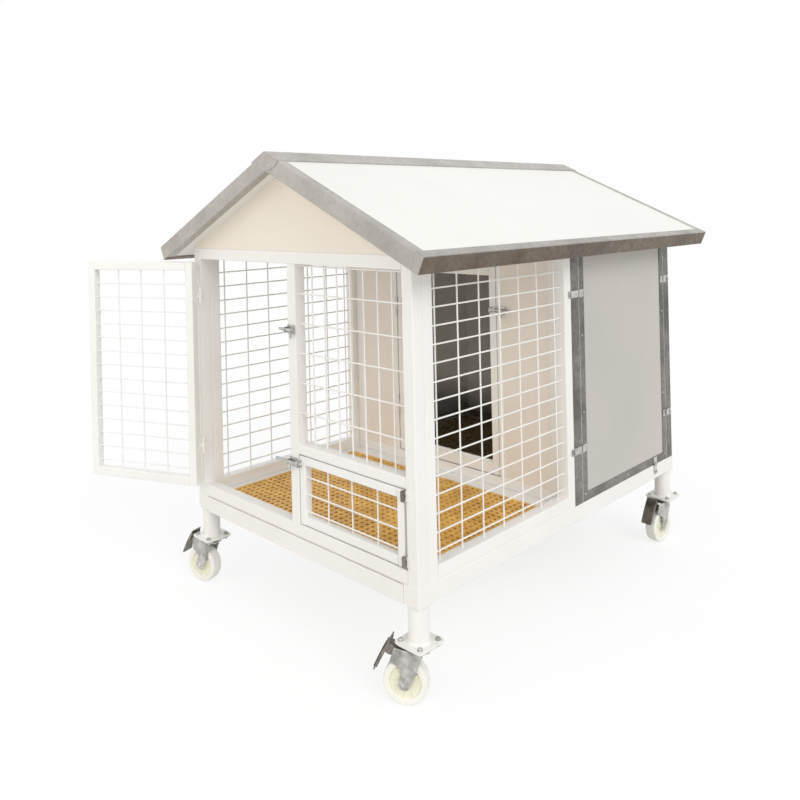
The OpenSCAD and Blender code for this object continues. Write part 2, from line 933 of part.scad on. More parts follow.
// Wheel with a crisp tread edge, a recessed face and a hub on each side
module caster_wheel() {
    h = wheel_w / 2;
    r = wheel_d / 2;
    color(nylon)
        translate([trail, 0, axle_z])
            rotate([90, 0, 0])
                rotate_extrude($fn = 72)
                    polygon([
                        [axle_r + run_gap, -h - 2.8], [13, -h - 2.8], [16, -h + 5],
                        [r - 19, -h + 5], [r - 17, -h], [r - 3, -h], [r - 1, -h + 1],
                        [r, -h + 4], [r, h - 4], [r - 1, h - 1], [r - 3, h],
                        [r - 17, h], [r - 19, h - 5], [16, h - 5], [13, h + 2.8],
                        [axle_r + run_gap, h + 2.8]
                    ]);
}

// Section of the tread plate, which hangs steeply outside the foot plate's corner:
// t runs from its upper end to its lower end, off is measured outwards
tread_x = plate_w / sqrt(2) + 6.3;
tread_lean = 29.4;
function tread(t, off) = [
    tread_x + 49 * t + (off + 10 * t * (1 - t)) * cos(tread_lean),
    crown_z + 29 - 87 * t + (off + 10 * t * (1 - t)) * sin(tread_lean)
];

// Arm on the pivot, and the ribbed tread plate that is riveted to its end
module brake_pedal() {
    cz = crown_z;
    half_t = 2;
    difference() {
        union() {
            translate([pivot_x, 0, cz - 7])
                rotate([90, 0, 0])
                    cylinder(r = 6.5, h = wheel_w - 2, center = true, $fn = 48);
            side_profile(-14, 14)
                polygon([
                    [pivot_x - 3, cz - 1.5], [pivot_x + 10, cz + 3], tread(0.12, -2 * half_t),
                    tread(0.25, -half_t - seat), tread(0.5, -half_t - seat),
                    [pivot_x + 36, cz - 16], [pivot_x + 12, cz - 16], [pivot_x + 2, cz - 13.2]
                ]);
        }
        translate([pivot_x, 0, cz - 7])
            rotate([90, 0, 0])
                cylinder(r = 3 + run_gap, h = wheel_w + 2, center = true, $fn = 48);
    }
    side_profile(-21, 21)
        polygon(concat(
            [for (k = [0:4]) tread(k / 4, half_t)],
            [for (k = [4:-1:0]) tread(k / 4, -half_t)]
        ));
    for (k = [0:3])
        translate([tread(0.3 + k * 0.2, 3)[0], 0, tread(0.3 + k * 0.2, 3)[1]])
            rotate([0, -tread_lean, 0])
                cube([3.6, 42, 2.5], center = true);
}

module pedal_at(i) {
    color(dark_zinc)
        at_caster(i)
            brake_pedal();
}

module caster_fork_fr() {
    at_caster(0) caster_fork();
}

module caster_fork_fl() {
    at_caster(1) caster_fork();
}

module caster_fork_rr() {
    at_caster(2) caster_fork();
}

module caster_fork_rl() {
    at_caster(3) caster_fork();
}

module caster_wheel_fr() {
    at_caster(0) caster_wheel();
}

module caster_wheel_fl() {
    at_caster(1) caster_wheel();
}

module caster_wheel_rr() {
    at_caster(2) caster_wheel();
}

module caster_wheel_rl() {
    at_caster(3) caster_wheel();
}

module brake_pedal_fr() {
    pedal_at(0);
}

module brake_pedal_fl() {
    pedal_at(1);
}

module brake_pedal_rr() {
    pedal_at(2);
}

module brake_pedal_rl() {
    pedal_at(3);
}

// Places hasp i of a side: X out of the wall, the strap along -Y
module at_hasp(i) {
    y_front = post_y1;
    y_rear = panel_y1;
    if (i == 0)
        translate([hw, y_front, hasp_top_z]) children();
    if (i == 1)
        translate([hw, y_front, hasp_low_z]) children();
    if (i == 2)
        translate([hw, y_rear, hasp_top_z]) mirror([0, 1, 0]) children();
    if (i == 3)
        translate([hw, y_rear, hasp_low_z]) mirror([0, 1, 0]) children();
    if (i == 4)
        translate([hw, hasp_foot_y, deck + 4]) rotate([90, 0, 0]) children();
}

function hasp_reach(i) = i < 2 ? post_y1 - stile_y1 + 8 : i < 4 ? 27 : 30;

// Fixed leaf, outer knuckles, pin and staple of a hasp
module hasp_base(reach) {
    bar(0, 2, 4.2, 26, -13, 13);
    for (z = [-13, 5]) {
        bar(0, 2.5, -1, 4.3, z, z + 8);
        translate([4, 0, z])
            cylinder(r = 3.5, h = 8, $fn = 32);
    }
    translate([4, 0, 0])
        cylinder(r = hasp_pin_r, h = 26, center = true, $fn = 24);
    difference() {
        bar(0, 11, -reach - 2, -reach + 2, -6, 6);
        translate([6.5, -reach, 0])
            rotate([90, 0, 0])
                cylinder(r = 3, h = 6, center = true, $fn = 24);
    }
}

// Moving strap of a hasp, with the slot that drops over the staple
module hasp_strap(reach) {
    difference() {
        union() {
            translate([4, 0, 0])
                cylinder(r = 3.5, h = 9.4, center = true, $fn = 32);
            bar(1, 3, -5, 0, -4.7, 4.7);
            bar(1, 3, -reach - 10, -4.5, -12, 12);
        }
        translate([4, 0, 0])
            cylinder(r = hasp_pin_r + run_gap, h = 12, center = true, $fn = 32);
        bar(0, 4, -reach - 4.5, -reach + 4.5, -9, 9);
    }
}

module hasp_plates() {
    color(zinc)
        for (i = [0:4]) {
            at_hasp(i)
                hasp_base(hasp_reach(i));
            mirror([1, 0, 0])
                at_hasp(i)
                    hasp_base(hasp_reach(i));
        }
}

module strap_right(i) {
    color(zinc)
        at_hasp(i)
            hasp_strap(hasp_reach(i));
}

module strap_left(i) {
    mirror([1, 0, 0])
        strap_right(i);
}

module hasp_r_front_top() {
    strap_right(0);
}

module hasp_r_front_low() {
    strap_right(1);
}

module hasp_r_rear_top() {
    strap_right(2);
}

module hasp_r_rear_low() {
    strap_right(3);
}

module hasp_r_foot() {
    strap_right(4);
}

module hasp_l_front_top() {
    strap_left(0);
}

module hasp_l_front_low() {
    strap_left(1);
}

module hasp_l_rear_top() {
    strap_left(2);
}

module hasp_l_rear_low() {
    strap_left(3);
}

module hasp_l_foot() {
    strap_left(4);
}

module rivet() {
    cylinder(r1 = 3.4, r2 = 2.2, h = 1.6, $fn = 24);
}

// Rivet heads on the channels, the roof's eaves and the ridge cap
module rivets() {
    y0 = post_y1 + flange_w / 2;
    y1 = panel_y1 - flange_w / 2;
    side = [
        [y0, top - wall_h * 0.361], [y0, top - wall_h * 0.656], [y0, deck + flange_w / 2 + 10],
        [y1, top - wall_h * 0.339], [y1, top - wall_h * 0.702], [y1, deck + flange_w / 2 + 8],
        [(y0 + y1) / 2, deck + flange_w / 2]
    ];
    color(bright)
        for (s = [-1, 1]) {
            for (p = side)
                translate([s * hw, p[0], p[1]])
                    rotate([0, s * 90, 0])
                        rivet();
            for (f = [0.22, 0.56, 0.78])
                translate([
                    s * slope_x(roof_len - 14, roof_t + sheet_t),
                    roof_y0 + (roof_y1 - roof_y0) * f,
                    slope_z(roof_len - 14, roof_t + sheet_t)
                ])
                    rotate([0, s * slope, 0])
                        rivet();
            translate([s * 22, roof_y0 - sheet_t, ridge_z + 12])
                rotate([90, 0, 0])
                    rivet();
        }
}

base_frame();
legs();
caster_plates();
caster_bolts();
front_frame();
front_mesh();
side_frames();
side_meshes();
partition_frame();
partition_panels();
room_posts();
side_panels();
rear_panel();
panel_channels();
roof_panel_left();
roof_panel_right();
eave_channels();
verge_channels();
ridge_cap();
gables();
ridge_beam();
floor_grid_yard();
floor_grid_room();
hinge_pins();
latch_housings();
hasp_plates();
rivets();
waste_tray();
caster_fork_fr();
caster_fork_fl();
caster_fork_rr();
caster_fork_rl();
caster_wheel_fr();
caster_wheel_fl();
caster_wheel_rr();
caster_wheel_rl();
brake_pedal_fr();
brake_pedal_fl();
brake_pedal_rr();
brake_pedal_rl();
front_door();
front_keeper();
front_latch_bolt();
feed_door();
feed_keeper();
feed_latch_bolt();
inner_door();
inner_door_pane();
inner_keeper();
inner_latch_bolt();
hasp_r_front_top();
hasp_r_front_low();
hasp_r_rear_top();
hasp_r_rear_low();
hasp_r_foot();
hasp_l_front_top();
hasp_l_front_low();
hasp_l_rear_top();
hasp_l_rear_low();
hasp_l_foot();
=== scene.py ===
"""Dog kennel on casters: fine parts, finishes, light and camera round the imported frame.

Lengths are metres. +Z is up, the doors face -Y, and the origin is the centre of the
footprint on the floor.
"""

from __future__ import annotations

import logging
import math
from dataclasses import dataclass
from enum import Enum
from functools import cached_property
from typing import Callable, Sequence

import bmesh
import bpy
from mathutils import Matrix, Vector


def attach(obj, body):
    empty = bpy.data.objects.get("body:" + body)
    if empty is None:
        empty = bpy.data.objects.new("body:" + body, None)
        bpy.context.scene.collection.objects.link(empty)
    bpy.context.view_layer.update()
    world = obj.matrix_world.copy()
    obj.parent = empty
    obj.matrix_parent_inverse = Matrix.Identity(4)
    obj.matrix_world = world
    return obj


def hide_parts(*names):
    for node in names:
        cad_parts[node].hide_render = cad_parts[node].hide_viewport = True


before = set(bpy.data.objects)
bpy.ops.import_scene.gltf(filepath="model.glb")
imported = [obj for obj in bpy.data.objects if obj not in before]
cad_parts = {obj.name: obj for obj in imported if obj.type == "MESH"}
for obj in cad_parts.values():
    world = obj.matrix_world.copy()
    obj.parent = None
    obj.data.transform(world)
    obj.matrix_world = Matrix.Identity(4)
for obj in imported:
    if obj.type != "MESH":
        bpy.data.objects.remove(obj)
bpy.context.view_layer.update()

log = logging.getLogger("kennel")

Point = Sequence[float]
Triple = tuple[float, float, float]
Outline = list[tuple[float, float]]
Placing = Callable[[float, float], Vector]
Placing3 = Callable[[float, float, float], Vector]
Socket = bpy.types.NodeSocket

KENNEL = "kennel"
UP, DOWN = (0, 0, 1), (0, 0, -1)
HINGE_SCREW = [(0.0036, -0.0004), (0.0034, 0.0004), (0.0026, 0.0009), (0.0012, 0.0010), (0.0011, 0.0004)]
LATCH_SCREW = [(0.0028, -0.0003), (0.0026, 0.0007), (0.0014, 0.0012), (0.0008, 0.0012), (0.0007, 0.0005)]
HASP_SCREW = [(0.0026, -0.0002), (0.0024, 0.0006), (0.0012, 0.0010), (0.0008, 0.0004)]
RIVET_RADIUS, RIVET_HEIGHT = 0.0036, 0.0017


@dataclass(frozen=True)
class Plan:
    """Edges and heights that several sub-assemblies share, as the frame has them."""

    half_width: float = 0.550
    half_depth: float = 0.745
    ring_low: float = 0.274
    deck: float = 0.328
    top: float = 1.220
    tube: float = 0.040
    rail: float = 0.070
    rail_inner: float = 0.480
    cross_front: float = -0.050
    cross_rear: float = 0.060
    partition: float = 0.010
    stile_rear: float = 0.028
    post_rear: float = 0.077
    panel_rear: float = 0.698
    post_left: float = 0.003
    post_right: float = 0.043
    feed_head: float = 0.588
    upper_sill: float = 0.620
    slope: float = math.radians(24.8)
    ridge: float = top + half_width * math.tan(slope)
    roof_thick: float = 0.050
    roof_front: float = -0.817
    roof_rear: float = 0.853
    roof_run: float = half_width / math.cos(slope) + 0.098
    sheet: float = 0.002
    lip: float = 0.028
    flange: float = 0.031
    leg_x: float = 0.520
    leg_y: float = 0.715
    foot_low: float = 0.167

    def on_slope(self, run: float, lift: float) -> tuple[float, float]:
        """X and z of a point down the right-hand slope, lifted off the roof's underside."""
        c, s = math.cos(self.slope), math.sin(self.slope)
        return run * c + lift * s, self.ridge - run * s + lift * c

    def ridge_run(self, lift: float) -> float:
        """Run at which the surface at this lift meets the upright plane of the ridge."""
        return -lift * math.tan(self.slope)


PLAN = Plan()


class Nodes:
    """Adds and joins shader nodes in the tree of one material or world."""

    def __init__(self, owner: bpy.types.Material | bpy.types.World) -> None:
        """Empties the owner's tree and keeps hold of it.

        Args:
            owner: The material or world.
        """
        owner.use_nodes = True
        self.tree = owner.node_tree
        self.tree.nodes.clear()

    @cached_property
    def place(self) -> Socket:
        """Object coordinates, from one node for the whole tree."""
        return self.add("TexCoord").outputs["Object"]

    def feed(self, socket: Socket, value: object) -> None:
        """Links an input to a socket, or sets it to a value.

        Args:
            socket: The input.
            value: The socket or value that it gets.
        """
        if isinstance(value, Socket):
            self.tree.links.new(value, socket)
        else:
            socket.default_value = value

    def add(self, kind: str, operation: str = "", **inputs: object) -> bpy.types.Node:
        """Adds a node.

        Args:
            kind: Node type without its ShaderNode prefix.
            operation: What a math node does.
            **inputs: Values or sockets by name, or by number after an underscore; other
                underscores stand for spaces.

        Returns:
            The new node.
        """
        node = self.tree.nodes.new("ShaderNode" + kind)
        if operation:
            node.operation = operation
        for name, value in inputs.items():
            self.feed(node.inputs[int(name[1:]) if name[0] == "_" else name.replace("_", " ")], value)
        return node

    def ramp(self, factor: Socket, stops: Sequence[tuple[float, Point]]) -> Socket:
        """Adds a colour ramp.

        Args:
            factor: Socket that picks the colour.
            stops: Place and colour of each stop.

        Returns:
            The colour's socket.
        """
        node = self.add("ValToRGB", Fac=factor)
        for mark, (place, colour) in zip(node.color_ramp.elements, stops):
            mark.position = place
            mark.color = (*colour, 1.0)
        return node.outputs["Color"]

    def span(self, value: Socket, low: float, high: float) -> Socket:
        """Maps a 0 to 1 socket to low..high and returns the result's socket."""
        return self.add("MapRange", Value=value, To_Min=low, To_Max=high).outputs["Result"]

    def noise(self, scale: float, detail: float, where: Socket | None = None) -> Socket:
        """Adds a noise texture and returns its factor socket."""
        where = self.place if where is None else where
        return self.add("TexNoise", Vector=where, Scale=scale, Detail=detail).outputs["Fac"]

    def mix(self, share: object, first: object, second: object) -> Socket:
        """Mixes two colours or sockets.

        Args:
            share: Share of the second.
            first: The first.
            second: The second.

        Returns:
            The result's socket.
        """
        node = self.add("Mix")
        node.data_type = "RGBA"
        for index, value in ((0, share), (6, first), (7, second)):
            self.feed(node.inputs[index], (*value, 1.0) if isinstance(value, tuple) else value)
        return node.outputs[2]

    def bump(self, height: Socket, strength: float, depth: float, **under: Socket) -> Socket:
        """Adds a bump node, over another's normal if given, and returns its normal."""
        return self.add("Bump", Height=height, Strength=strength, Distance=depth, **under).outputs["Normal"]

    def shown(self, plain: Socket, seen: Socket, output: str) -> None:
        """Ends the tree with one shader as a light and another for what the eye gets.

        Args:
            plain: Shader for diffuse light.
            seen: Shader for the camera, mirrors and clear sheet.
            output: Type of the output node.
        """
        rays = self.add("LightPath").outputs
        share = rays["Is Camera Ray"]
        for kind in ("Is Glossy Ray", "Is Transmission Ray"):
            share = self.add("Math", "MAXIMUM", _0=share, _1=rays[kind]).outputs[0]
        self.add(output, Surface=self.add("MixShader", _0=share, _1=plain, _2=seen).outputs[0])


class Grain(Enum):
    """Kinds of surface; each value names the Finish method that builds it."""

    POWDER = "_powder"
    SHEET = "_sheet"
    SPANGLE = "_spangle"
    PLATED = "_plated"
    MOULDED = "_moulded"
    CLEAR = "_clear"
    GROUND = "_ground"


@dataclass(frozen=True)
class Finish:
    """One surface finish and the name of the slot that it belongs to."""

    name: str
    slot: str
    grain: Grain
    colour: Triple
    shade: Triple
    roughness: float
    metallic: float = 0.0
    bump: float = 0.1
    dust: float = 0.0

    def material(self) -> bpy.types.Material:
        """Makes the material at its first use.

        Returns:
            The material.
        """
        made = bpy.data.materials.get(self.name)
        if made is None:
            made = bpy.data.materials.new(self.name)
            getattr(self, self.grain.value)(Nodes(made))
            made.diffuse_color = (*self.colour, 1.0)
        return made

    def _tone(self, nodes: Nodes, cloud: Socket, low: float, high: float) -> Socket:
        """Cloudy colour from shade to colour between two levels of the cloud."""
        return nodes.ramp(cloud, [(low, self.shade), (high, self.colour)])

    def _worn(self, nodes: Nodes, tone: Socket, pattern: Socket, most: float) -> Socket:
        """Tone drawn towards the shade where the pattern is high."""
        return nodes.mix(nodes.span(pattern, 0.0, most), tone, self.shade)

    def _dusted(self, nodes: Nodes, tone: Socket) -> Socket:
        """Lays road dust on what is low down.

        Args:
            nodes: The material's nodes.
            tone: Colour without dust.

        Returns:
            The colour with it.
        """
        if self.dust <= 0:
            return tone
        height = nodes.add("SeparateXYZ", Vector=nodes.place).outputs["Z"]
        low = nodes.add("MapRange", Value=height, From_Min=0.60, From_Max=0.10, To_Max=self.dust)
        cloud = nodes.span(nodes.noise(9.0, 6.0), -0.5, 1.6)
        share = nodes.add("Math", "MULTIPLY", _0=low.outputs["Result"], _1=cloud)
        share.use_clamp = True
        return nodes.mix(share.outputs[0], tone, (0.62, 0.54, 0.42))

    def _coat(self, nodes: Nodes, tone: Socket, gloss: Socket, low: float, high: float, **more: object) -> None:
        """Ends a material with its main shader.

        Args:
            nodes: The material's nodes.
            tone: Colour before the dust.
            gloss: Pattern of the roughness.
            low: Change of roughness where the pattern is 0.
            high: Change of roughness where it is 1.
            **more: Further inputs of the shader.
        """
        shader = nodes.add(
            "BsdfPrincipled", Metallic=self.metallic, Base_Color=self._dusted(nodes, tone),
            Roughness=nodes.span(gloss, self.roughness + low, self.roughness + high), **more,
        )
        nodes.add("OutputMaterial", Surface=shader.outputs[0])

    def _powder(self, nodes: Nodes) -> None:
        """Baked powder coat: cloudy tone, orange peel and a soft gloss.

        Args:
            nodes: The material's nodes.
        """
        tone = self._tone(nodes, nodes.noise(3.2, 5.0), 0.32, 0.66)
        tone = self._worn(nodes, tone, nodes.noise(160.0, 2.0), 0.10)
        peel = nodes.bump(nodes.noise(620.0, 1.5), self.bump, 0.0003)
        self._coat(nodes, tone, nodes.noise(14.0, 4.0), -0.08, 0.10, Normal=peel)

    def _sheet(self, nodes: Nodes) -> None:
        """Coated sheet over foam: long faint waves, wiped streaks and a low gloss.

        Args:
            nodes: The material's nodes.
        """
        stretched = nodes.add("Mapping", Vector=nodes.place, Scale=(26.0, 26.0, 2.2)).outputs[0]
        streak = nodes.noise(1.0, 3.0, stretched)
        tone = self._worn(nodes, self._tone(nodes, nodes.noise(1.7, 4.0), 0.30, 0.68), streak, 0.16)
        fine = nodes.bump(nodes.noise(480.0, 1.0), self.bump * 0.5, 0.0002)
        wide = nodes.bump(nodes.noise(7.0, 1.0), self.bump, 0.004, Normal=fine)
        self._coat(nodes, tone, streak, -0.06, 0.10, Normal=wide)

    def _spangle(self, nodes: Nodes) -> None:
        """Hot-dip zinc: crystals of two tones, dark weathering clouds and bright grit.

        Args:
            nodes: The material's nodes.
        """
        bent = nodes.add("TexNoise", Vector=nodes.place, Scale=40.0, Detail=2.0).outputs["Color"]
        moved = nodes.add("VectorMath", "ADD", _0=nodes.place, _1=nodes.mix(0.012, (0.0, 0.0, 0.0), bent))
        cells = nodes.add("TexVoronoi", Vector=moved.outputs[0], Scale=95.0)
        cell = nodes.add("SeparateXYZ", Vector=cells.outputs["Color"]).outputs["X"]
        tone = self._worn(nodes, self._tone(nodes, nodes.noise(6.5, 6.0), 0.34, 0.62), cell, 0.34)
        grit = nodes.noise(260.0, 3.0)
        tone = nodes.mix(nodes.span(grit, 0.0, 0.22), tone, tuple(min(1.0, c * 1.5) for c in self.colour))
        self._coat(nodes, tone, cell, -0.10, 0.14, Normal=nodes.bump(grit, self.bump, 0.0003))

    def _plated(self, nodes: Nodes) -> None:
        """Zinc plate on pressed steel: fine grain with darker stains.

        Args:
            nodes: The material's nodes.
        """
        stain = nodes.noise(34.0, 5.0)
        grain = nodes.bump(nodes.noise(420.0, 2.0), self.bump, 0.0002)
        self._coat(nodes, self._tone(nodes, stain, 0.36, 0.62), stain, 0.12, -0.06, Normal=grain)

    def _moulded(self, nodes: Nodes) -> None:
        """Moulded plastic: flow clouds, a fine matt grain and a little light let in.

        Args:
            nodes: The material's nodes.
        """
        flow = nodes.noise(15.0, 4.0)
        tone = self._worn(nodes, self._tone(nodes, flow, 0.30, 0.66), nodes.noise(240.0, 2.0), 0.16)
        matt = nodes.bump(nodes.noise(520.0, 1.0), self.bump, 0.0003)
        self._coat(
            nodes, tone, flow, -0.06, 0.10, Normal=matt,
            Subsurface_Weight=0.06, Subsurface_Radius=(0.006, 0.004, 0.002),
        )

    def _clear(self, nodes: Nodes) -> None:
        """Clear sheet with faint wiping marks in its roughness; its colour is painted shade, dark grey above
        and near black towards the bottom.

        Args:
            nodes: The material's nodes.
        """
        inside = nodes.add("TexCoord").outputs["Generated"]
        height = nodes.add("SeparateXYZ", Vector=inside).outputs["Z"]
        # Painted shade: the tint grows darker towards the bottom of the pane, for the dark room and its
        # shadowed floor behind it.
        painted_interior_shade = self._tone(nodes, height, 0.28, 0.44)
        self._coat(nodes, painted_interior_shade, nodes.noise(22.0, 5.0), 0.0, 0.10, Alpha=0.30, IOR=1.49)

    def _ground(self, nodes: Nodes) -> None:
        """Pale floor that reads white to the eye and keeps the object's shadow.

        Args:
            nodes: The material's nodes.
        """
        matt = nodes.add("BsdfDiffuse", Color=self._tone(nodes, nodes.noise(0.8, 2.0), 0.3, 0.7))
        shadow = nodes.add("BsdfDiffuse", Color=(0.24, 0.24, 0.24, 1.0))
        glow = nodes.add("Emission", Color=(1.0, 1.0, 1.0, 1.0), Strength=0.78)
        seen = nodes.add("AddShader", _0=shadow.outputs[0], _1=glow.outputs[0])
        nodes.shown(matt.outputs[0], seen.outputs[0], "OutputMaterial")


WHITE = Finish(
    "white_powder_coat", "frame_white", Grain.POWDER, (0.945, 0.935, 0.91), (0.905, 0.89, 0.86), 0.38,
    bump=0.10, dust=0.08,
)
WIRE_WHITE = Finish(
    "dipped_white_wire", "frame_white", Grain.POWDER, (0.94, 0.935, 0.91), (0.90, 0.89, 0.86), 0.34, bump=0.16)
GABLE = Finish(
    "gable_sheet", "frame_white", Grain.SHEET, (0.92, 0.85, 0.75), (0.90, 0.82, 0.71), 0.42, bump=0.10)
PANEL = Finish(
    "grey_panel_sheet", "panel_grey", Grain.SHEET, (0.60, 0.57, 0.52), (0.54, 0.52, 0.485), 0.46, bump=0.14)
LINING = Finish(
    "pale_lining_sheet", "panel_grey", Grain.SHEET, (0.92, 0.86, 0.79), (0.87, 0.81, 0.74), 0.46, bump=0.10)
ROOF = Finish(
    "pale_roof_sheet", "panel_grey", Grain.SHEET, (0.91, 0.90, 0.86), (0.86, 0.85, 0.81), 0.34, bump=0.16)
ZINC = Finish(
    "galvanised_post", "zinc", Grain.SPANGLE, (0.265, 0.25, 0.23), (0.095, 0.09, 0.08), 0.46, 0.55, bump=0.20)
VERGE_ZINC = Finish(
    "galvanised_verge", "zinc", Grain.SPANGLE, (0.50, 0.475, 0.44), (0.37, 0.35, 0.325), 0.42, 0.45, bump=0.16)
LIP_ZINC = Finish(
    "galvanised_lip", "zinc", Grain.SPANGLE, (0.43, 0.415, 0.385), (0.31, 0.295, 0.275), 0.40, 0.40, bump=0.14)
# Eave faces: zinc darkened with painted shade and browned by a painted reflection of the ground, as they face
# out and down.
EAVE_SHADE_ZINC = Finish(
    "eave_zinc_painted_shade", "zinc", Grain.SPANGLE, (0.19, 0.15, 0.11), (0.10, 0.072, 0.05), 0.44, 0.35, bump=0.18)
CASTER_ZINC = Finish(
    "caster_zinc", "zinc", Grain.PLATED, (0.60, 0.585, 0.56), (0.34, 0.33, 0.31), 0.38, 0.7, bump=0.12)
# DARK is the pedal's dark plate; on the feed door's hinge knuckles and pins it is painted shade.
DARK = Finish(
    "dark_plate", "dark_zinc", Grain.PLATED, (0.28, 0.26, 0.23), (0.12, 0.11, 0.095), 0.42, 0.6, bump=0.16)
BRIGHT = Finish(
    "bright_plate", "bright_steel", Grain.PLATED, (0.66, 0.65, 0.63), (0.44, 0.43, 0.41), 0.28, 0.85, bump=0.08)
SLATS = Finish(
    "amber_slats", "floor_slats", Grain.MOULDED, (0.98, 0.60, 0.16), (0.66, 0.35, 0.07), 0.42, bump=0.20)
ROOM_SLATS = Finish(
    "olive_slats", "floor_slats", Grain.MOULDED, (0.34, 0.29, 0.15), (0.24, 0.20, 0.10), 0.46, bump=0.20)
NYLON = Finish(
    "pale_nylon", "wheel_nylon", Grain.MOULDED, (0.95, 0.945, 0.89), (0.92, 0.91, 0.84), 0.34,
    bump=0.10, dust=0.05,
)
DISC = Finish(
    "cream_nylon", "wheel_nylon", Grain.MOULDED, (0.90, 0.895, 0.74), (0.86, 0.85, 0.67), 0.38, bump=0.10)
# Pane colour is painted shade of the dark room behind it, near black towards the bottom where the floor lies in
# shadow.
CLEAR = Finish(
    "clear_sheet_painted_shade", "clear_pane", Grain.CLEAR, (0.34, 0.325, 0.295), (0.010, 0.009, 0.008), 0.06)
FLOOR = Finish("studio_floor", "stage", Grain.GROUND, (0.78, 0.77, 0.75), (0.74, 0.73, 0.71), 0.8)


def circle(radius: float, sides: int) -> Outline:
    """Points of a circle, anticlockwise from the first axis."""
    turns = [math.tau * k / sides for k in range(sides)]
    return [(radius * math.cos(turn), radius * math.sin(turn)) for turn in turns]


def rounded_rect(width: float, height: float, radius: float, steps: int = 3) -> Outline:
    """Outline of a rectangle round the origin.

    Args:
        width: Size along the first axis.
        height: Size along the second axis.
        radius: Corner radius.
        steps: Segments in each corner.

    Returns:
        Points in order.
    """
    points: Outline = []
    a, b = width / 2 - radius, height / 2 - radius
    for cx, cy, start in ((a, b, 0), (-a, b, 90), (-a, -b, 180), (a, -b, 270)):
        for k in range(steps + 1):
            turn = math.radians(start + 90 * k / steps)
            points.append((cx + radius * math.cos(turn), cy + radius * math.sin(turn)))
    return points


def soften(path: Outline, radius: float, steps: int = 4) -> Outline:
    """Rounds the inner corners of an open path, as a press brake does.

    Args:
        path: Corner points.
        radius: Bend radius of the middle line.
        steps: Segments in each bend.

    Returns:
        The denser path.
    """
    result = [path[0]]
    for before, corner, after in zip(path, path[1:], path[2:]):
        p, c, n = Vector(before), Vector(corner), Vector(after)
        d0, d1 = (p - c).normalized(), (n - c).normalized()
        back = min(radius / math.tan(d0.angle(d1) / 2), (p - c).length * 0.45, (n - c).length * 0.45)
        for k in range(steps + 1):
            t = k / steps
            q = (1 - t) ** 2 * (c + d0 * back) + 2 * t * (1 - t) * c + t * t * (c + d1 * back)
            result.append((q.x, q.y))
    result.append(path[-1])
    return result


def mirrored(half: Outline) -> Outline:
    """The same points in the opposite order, on the other side of the first axis."""
    return [(x, -y) for x, y in reversed(half)]


def shift(x: float, y: float, z: float) -> Matrix:
    """A move without a turn."""
    return Matrix.Translation((x, y, z))


def turn(degrees: float, axis: str) -> Matrix:
    """A turn about an axis through the origin."""
    return Matrix.Rotation(math.radians(degrees), 4, axis)


def upright(x: float, y: float, z: float) -> Matrix:
    """Placing of a plate in the XZ plane that thickens towards -Y."""
    return shift(x, y, z) @ turn(90, "X")


def sideways(x: float, y: float, z: float) -> Matrix:
    """Placing of a plate in the YZ plane that thickens towards +X."""
    return Matrix(((0, 0, 1, x), (1, 0, 0, y), (0, 1, 0, z), (0, 0, 0, 1)))


def facing(origin: Point, normal: Point, up: Point = UP) -> Matrix:
    """Placing whose third axis is the normal.

    Args:
        origin: Where the placing's own origin goes.
        normal: Direction of the third axis.
        up: Direction that the second axis leans towards.

    Returns:
        The 4 by 4 matrix.
    """
    w = Vector(normal).normalized()
    lean = Vector(up)
    if abs(w.dot(lean.normalized())) > 0.99:
        lean = Vector((0, 1, 0)) if abs(w.y) < 0.9 else Vector((1, 0, 0))
    u = lean.cross(w).normalized()
    return columns(u, w.cross(u), w, origin)


def columns(first: Vector, second: Vector, third: Vector, origin: Point) -> Matrix:
    """The 4 by 4 matrix with these axes and this origin."""
    return Matrix((*zip(first, second, third, origin), (0, 0, 0, 1)))


